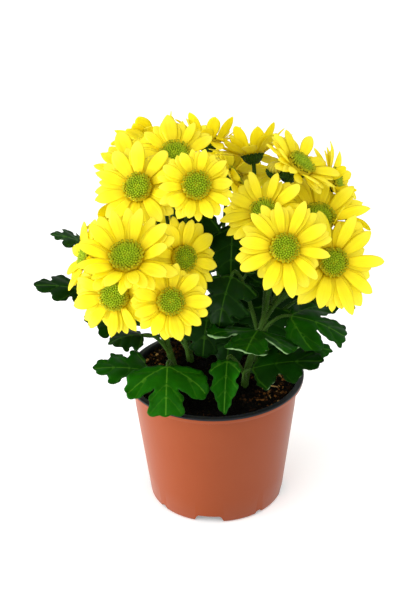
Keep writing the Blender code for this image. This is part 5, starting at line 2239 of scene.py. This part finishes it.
BLOOMS = (
    Bloom("a", "stem_front_left", 128, (-53, -47, 201), -10, 58, 9.7, 22.0, 1),
    Bloom("b", "stem_front_right", 138, (43, -46, 205), 0, 30, 8.3, 19.8, 2),
    Bloom("c", "stem_left", 150, (-46, -10, 231), -20, 40, 8.4, 20.0, 3),
    Bloom("d", "stem_left", 150, (-10, -32, 241), 5, 35, 8.2, 14.0, 4),
    Bloom("e", "stem_front_left", 118, (-27, -62, 178), 15, 30, 7.8, 15.5, 5),
    Bloom("f", "stem_front_right", 134, (74.5, -26, 185), 15, 25, 8.5, 23.5, 6),
    Bloom("g", "stem_front_left", 112, (-62, -40, 172), -20, 17, 8.9, 17.5, 7),
    Bloom("h", "stem_right", 148, (66.5, -8, 206.5), 10, 62, 9.8, 21.5, 8),
    Bloom("i", "stem_front_right", 140, (31.5, -22, 218.5), -25, 50, 7.8, 18.5, 9),
    Bloom("j", "stem_left", 150, (-23, 14, 242.5), 0, 60, 9.0, 18.0, 10),
    Bloom("k", "stem_right", 150, (55.5, 4, 238.5), 70, 55, 8.4, 17.0, 11),
    Bloom("l", "stem_right", 144, (79, 24, 219), 76, 25, 7.8, 17.0, 12),
    Bloom("m", "stem_back", 148, (26.5, 38, 234), -165, 60, 8.0, 19.0, 13),
    Bloom("n", "stem_front_left", 126, (-19, -30, 191.5), 35, 25, 7.6, 17.0, 14),
    Bloom("o", "stem_left", 144, (-50, 15, 234), -20, 62, 8.0, 17.0, 15),
    Bloom("p", "stem_back", 148, (-2, 46, 240), 160, 62, 8.0, 18.0, 16),
    Bloom("q", "stem_left", 132, (-81, -8, 183), -72, 26, 8.0, 16.0, 17),
    Bloom("r", "stem_back", 146, (14, 18, 224), 105, 32, 7.8, 15.0, 18),
    Bloom("s", "stem_left", 140, (-38, 52, 238), -165, 48, 8.4, 19.0, 19),
    Bloom("t", "stem_back", 140, (12, 74, 204), 172, 34, 8.6, 20.0, 20),
    Bloom("u", "stem_right", 146, (52, 50, 216), 155, 45, 8.4, 20.0, 21),
    Bloom("v", "stem_right", 138, (86, 36, 194), 112, 32, 8.2, 18.0, 22),
    Bloom("w", "stem_left", 128, (-64, 44, 190), -125, 30, 8.2, 18.0, 23),
    Bloom("x", "stem_back", 128, (-24, 78, 178), -172, 20, 8.2, 18.0, 24),
)

BUDS = (
    Bud("bud_front", "stem_front_right", 140, (39, 1, 236.5), 20, 70, 5.0),
    Bud("bud_back", "stem_back", 132, (34, 66, 188), 150, 35, 4.4),
)

LOBED, PLAIN, PALMATE = LeafKind.LOBED, LeafKind.PLAIN, LeafKind.PALMATE
# The inner m and n leaves are given a low tone of -0.1: painted shade, for the shade inside the
# plant.
STEMS = (
    Stem("stem_front_left", (-26, -8), (-34, -10, 128), (
        Leaf("l1", 98, (-31, -30, 115), (-32, -66, 98), 54, -10, 0, 0.08, PALMATE, 0.8, 1.0),
        Leaf("l2", 94, (-42, -20, 104), (-80, -20, 107), 40, -6, -6, 0.06, LOBED, 1.4, 0.6),
        Leaf("m8", 110, (-46, -20, 132), (-68, -26, 126), 32, -12, 0, 0.10, PLAIN, lighter_green=-0.1),
    )),
    Stem("stem_left", (-17, 20), (-27, 18, 150), (
        Leaf("l8", 126, (-76, 8, 146), (-118, 4, 157), 34, -10, -10, 0.08, LOBED, lighter_green=0.2),
        Leaf("l9", 142, (-80, 20, 176), (-106, 18, 187), 30, -8, 0, 0.08, LOBED, lighter_green=0.2),
        Leaf("l10", 112, (-52, -2, 122), (-86, -4, 136), 38, -12, 0, 0.08, LOBED, lighter_green=0.2),
        Leaf("m3", 143, (13, 14, 194), (11, -2, 160), 38, -10, 0, 0.08, PLAIN, lighter_green=-0.1),
        Leaf("k4", 116, (-46, 36, 130), (-84, 50, 126), 44, -12, 0, 0.12, PALMATE),
        Leaf("k7", 96, (-36, 40, 110), (-62, 66, 102), 38, -12, 0, 0.12, PLAIN),
        Leaf("k9", 132, (-54, 26, 156), (-88, 34, 160), 32, -12, 0, 0.10, PLAIN),
    )),
    Stem("stem_front_right", (20, -12), (33, -12, 140), (
        Leaf("l3", 94, (8, -27, 117), (5, -55, 92), 26, 40, 0, 0.10, PLAIN, lighter_green=0.95),
        Leaf("l4", 116, (28, -24, 136), (18, -62, 140), 60, -6, -6, 0.06, PALMATE, 2.9, 0.35),
        Leaf("l5", 92, (22, -26, 108), (70, -33, 117), 44, -8, 10, 0.06, LOBED, 1.8, 0.25),
        Leaf("l6", 124, (48, -16, 142), (88, -24, 128), 60, -8, 6, 0.08, PALMATE, lighter_green=0.35),
        Leaf("m1", 126, (12, -10, 170), (2, -26, 136), 46, -10, 0, 0.08, LOBED, lighter_green=-0.1),
    )),
    Stem("stem_right", (29, 17), (46, 18, 150), (
        Leaf("l7", 100, (58, 0, 108), (79, 4, 104), 20, -6, 20, 0.06, PLAIN, lighter_green=0.3),
        Leaf("m6", 130, (60, 0, 152), (90, -8, 158), 38, -12, 0, 0.10, PLAIN, lighter_green=-0.1),
        Leaf("n1", 112, (36, 6, 140), (34, -10, 108), 48, -10, 0, 0.08, LOBED, lighter_green=-0.1),
        Leaf("n3", 104, (38, 30, 112), (36, 44, 154), 52, -8, 0, 0.06, LOBED, lighter_green=-0.1),
        Leaf("m13", 124, (38, 22, 140), (40, 36, 182), 46, -8, 0, 0.06, PLAIN, lighter_green=-0.1),
        Leaf("k3", 116, (62, 30, 130), (100, 46, 122), 46, -12, 0, 0.12, LOBED),
        Leaf("k6", 98, (46, 38, 112), (72, 64, 102), 40, -12, 0, 0.12, PLAIN),
        Leaf("k8", 132, (66, 22, 156), (100, 26, 156), 36, -12, 0, 0.10, PLAIN),
    )),
    Stem("stem_back", (3, 34), (5, 40, 148), (
        Leaf("m4", 112, (-2, 14, 140), (-8, -6, 106), 44, -10, 0, 0.08, LOBED, lighter_green=-0.1),
        Leaf("m10", 138, (22, 26, 150), (28, 40, 194), 50, -8, 0, 0.06, LOBED, lighter_green=-0.1),
        Leaf("n2", 102, (14, 18, 124), (8, 2, 96), 42, -10, 0, 0.08, PLAIN, lighter_green=-0.1),
        Leaf("m12", 130, (-6, 20, 204), (-8, 6, 172), 34, -10, 0, 0.08, PLAIN, lighter_green=-0.1),
        Leaf("k1", 124, (-10, 54, 134), (-32, 90, 128), 44, -12, 0, 0.12, LOBED),
        Leaf("k2", 116, (16, 56, 126), (34, 92, 116), 46, -12, 0, 0.12, PALMATE),
        Leaf("k5", 96, (4, 50, 110), (0, 84, 100), 40, -12, 0, 0.12, PLAIN),
    )),
)


def main() -> None:
    """Builds the finishes, the studio, the pot, the soil, the stems, the blooms and the buds."""
    logging.basicConfig(level=logging.INFO, format="%(message)s")
    dresser = Dresser(
        PotPlastic("pot_plastic", "pot_plastic", 0.34, 0.22),
        Peat("peat", "peat", 0.92, 0.06),
        LeafGreen("leaf_green", "foliage", 0.45, 0.035, 0.06),
        StalkGreen("stalk_green", "foliage", 0.6, 0.08, 0.05),
        DownPale("stalk_down", "foliage", 0.7, 0.1),
        RayYellow("ray_yellow", "ray_yellow", 0.55, 0.2, 0.42, (1.0, 0.88, 0.014)),
        DiscGreen("disc_green", "disc_green", 0.6, 0.1),
        BudYellow("bud_yellow_green", "bud_yellow_green", 0.55, 0.3),
        FloorWhite("floor_white", "pot_plastic", 0.9, 0.1),
    )
    Studio().build(dresser)
    pot = Pot()
    pot.build(dresser)
    Soil(pot).build(CrumbGrower(), dresser)
    trees = {"stalks": StalkGrower(), "down": DownGrower(), "scales": ScaleGrower()}
    florets = FloretGrower()
    for stem in STEMS:
        stem.build([head for head in BLOOMS + BUDS if head.stem == stem.name], trees, dresser)
    for bloom in BLOOMS:
        bloom.build(florets, dresser)
    for bud in BUDS:
        bud.build(dresser)


if __name__ == "__main__":
    main()
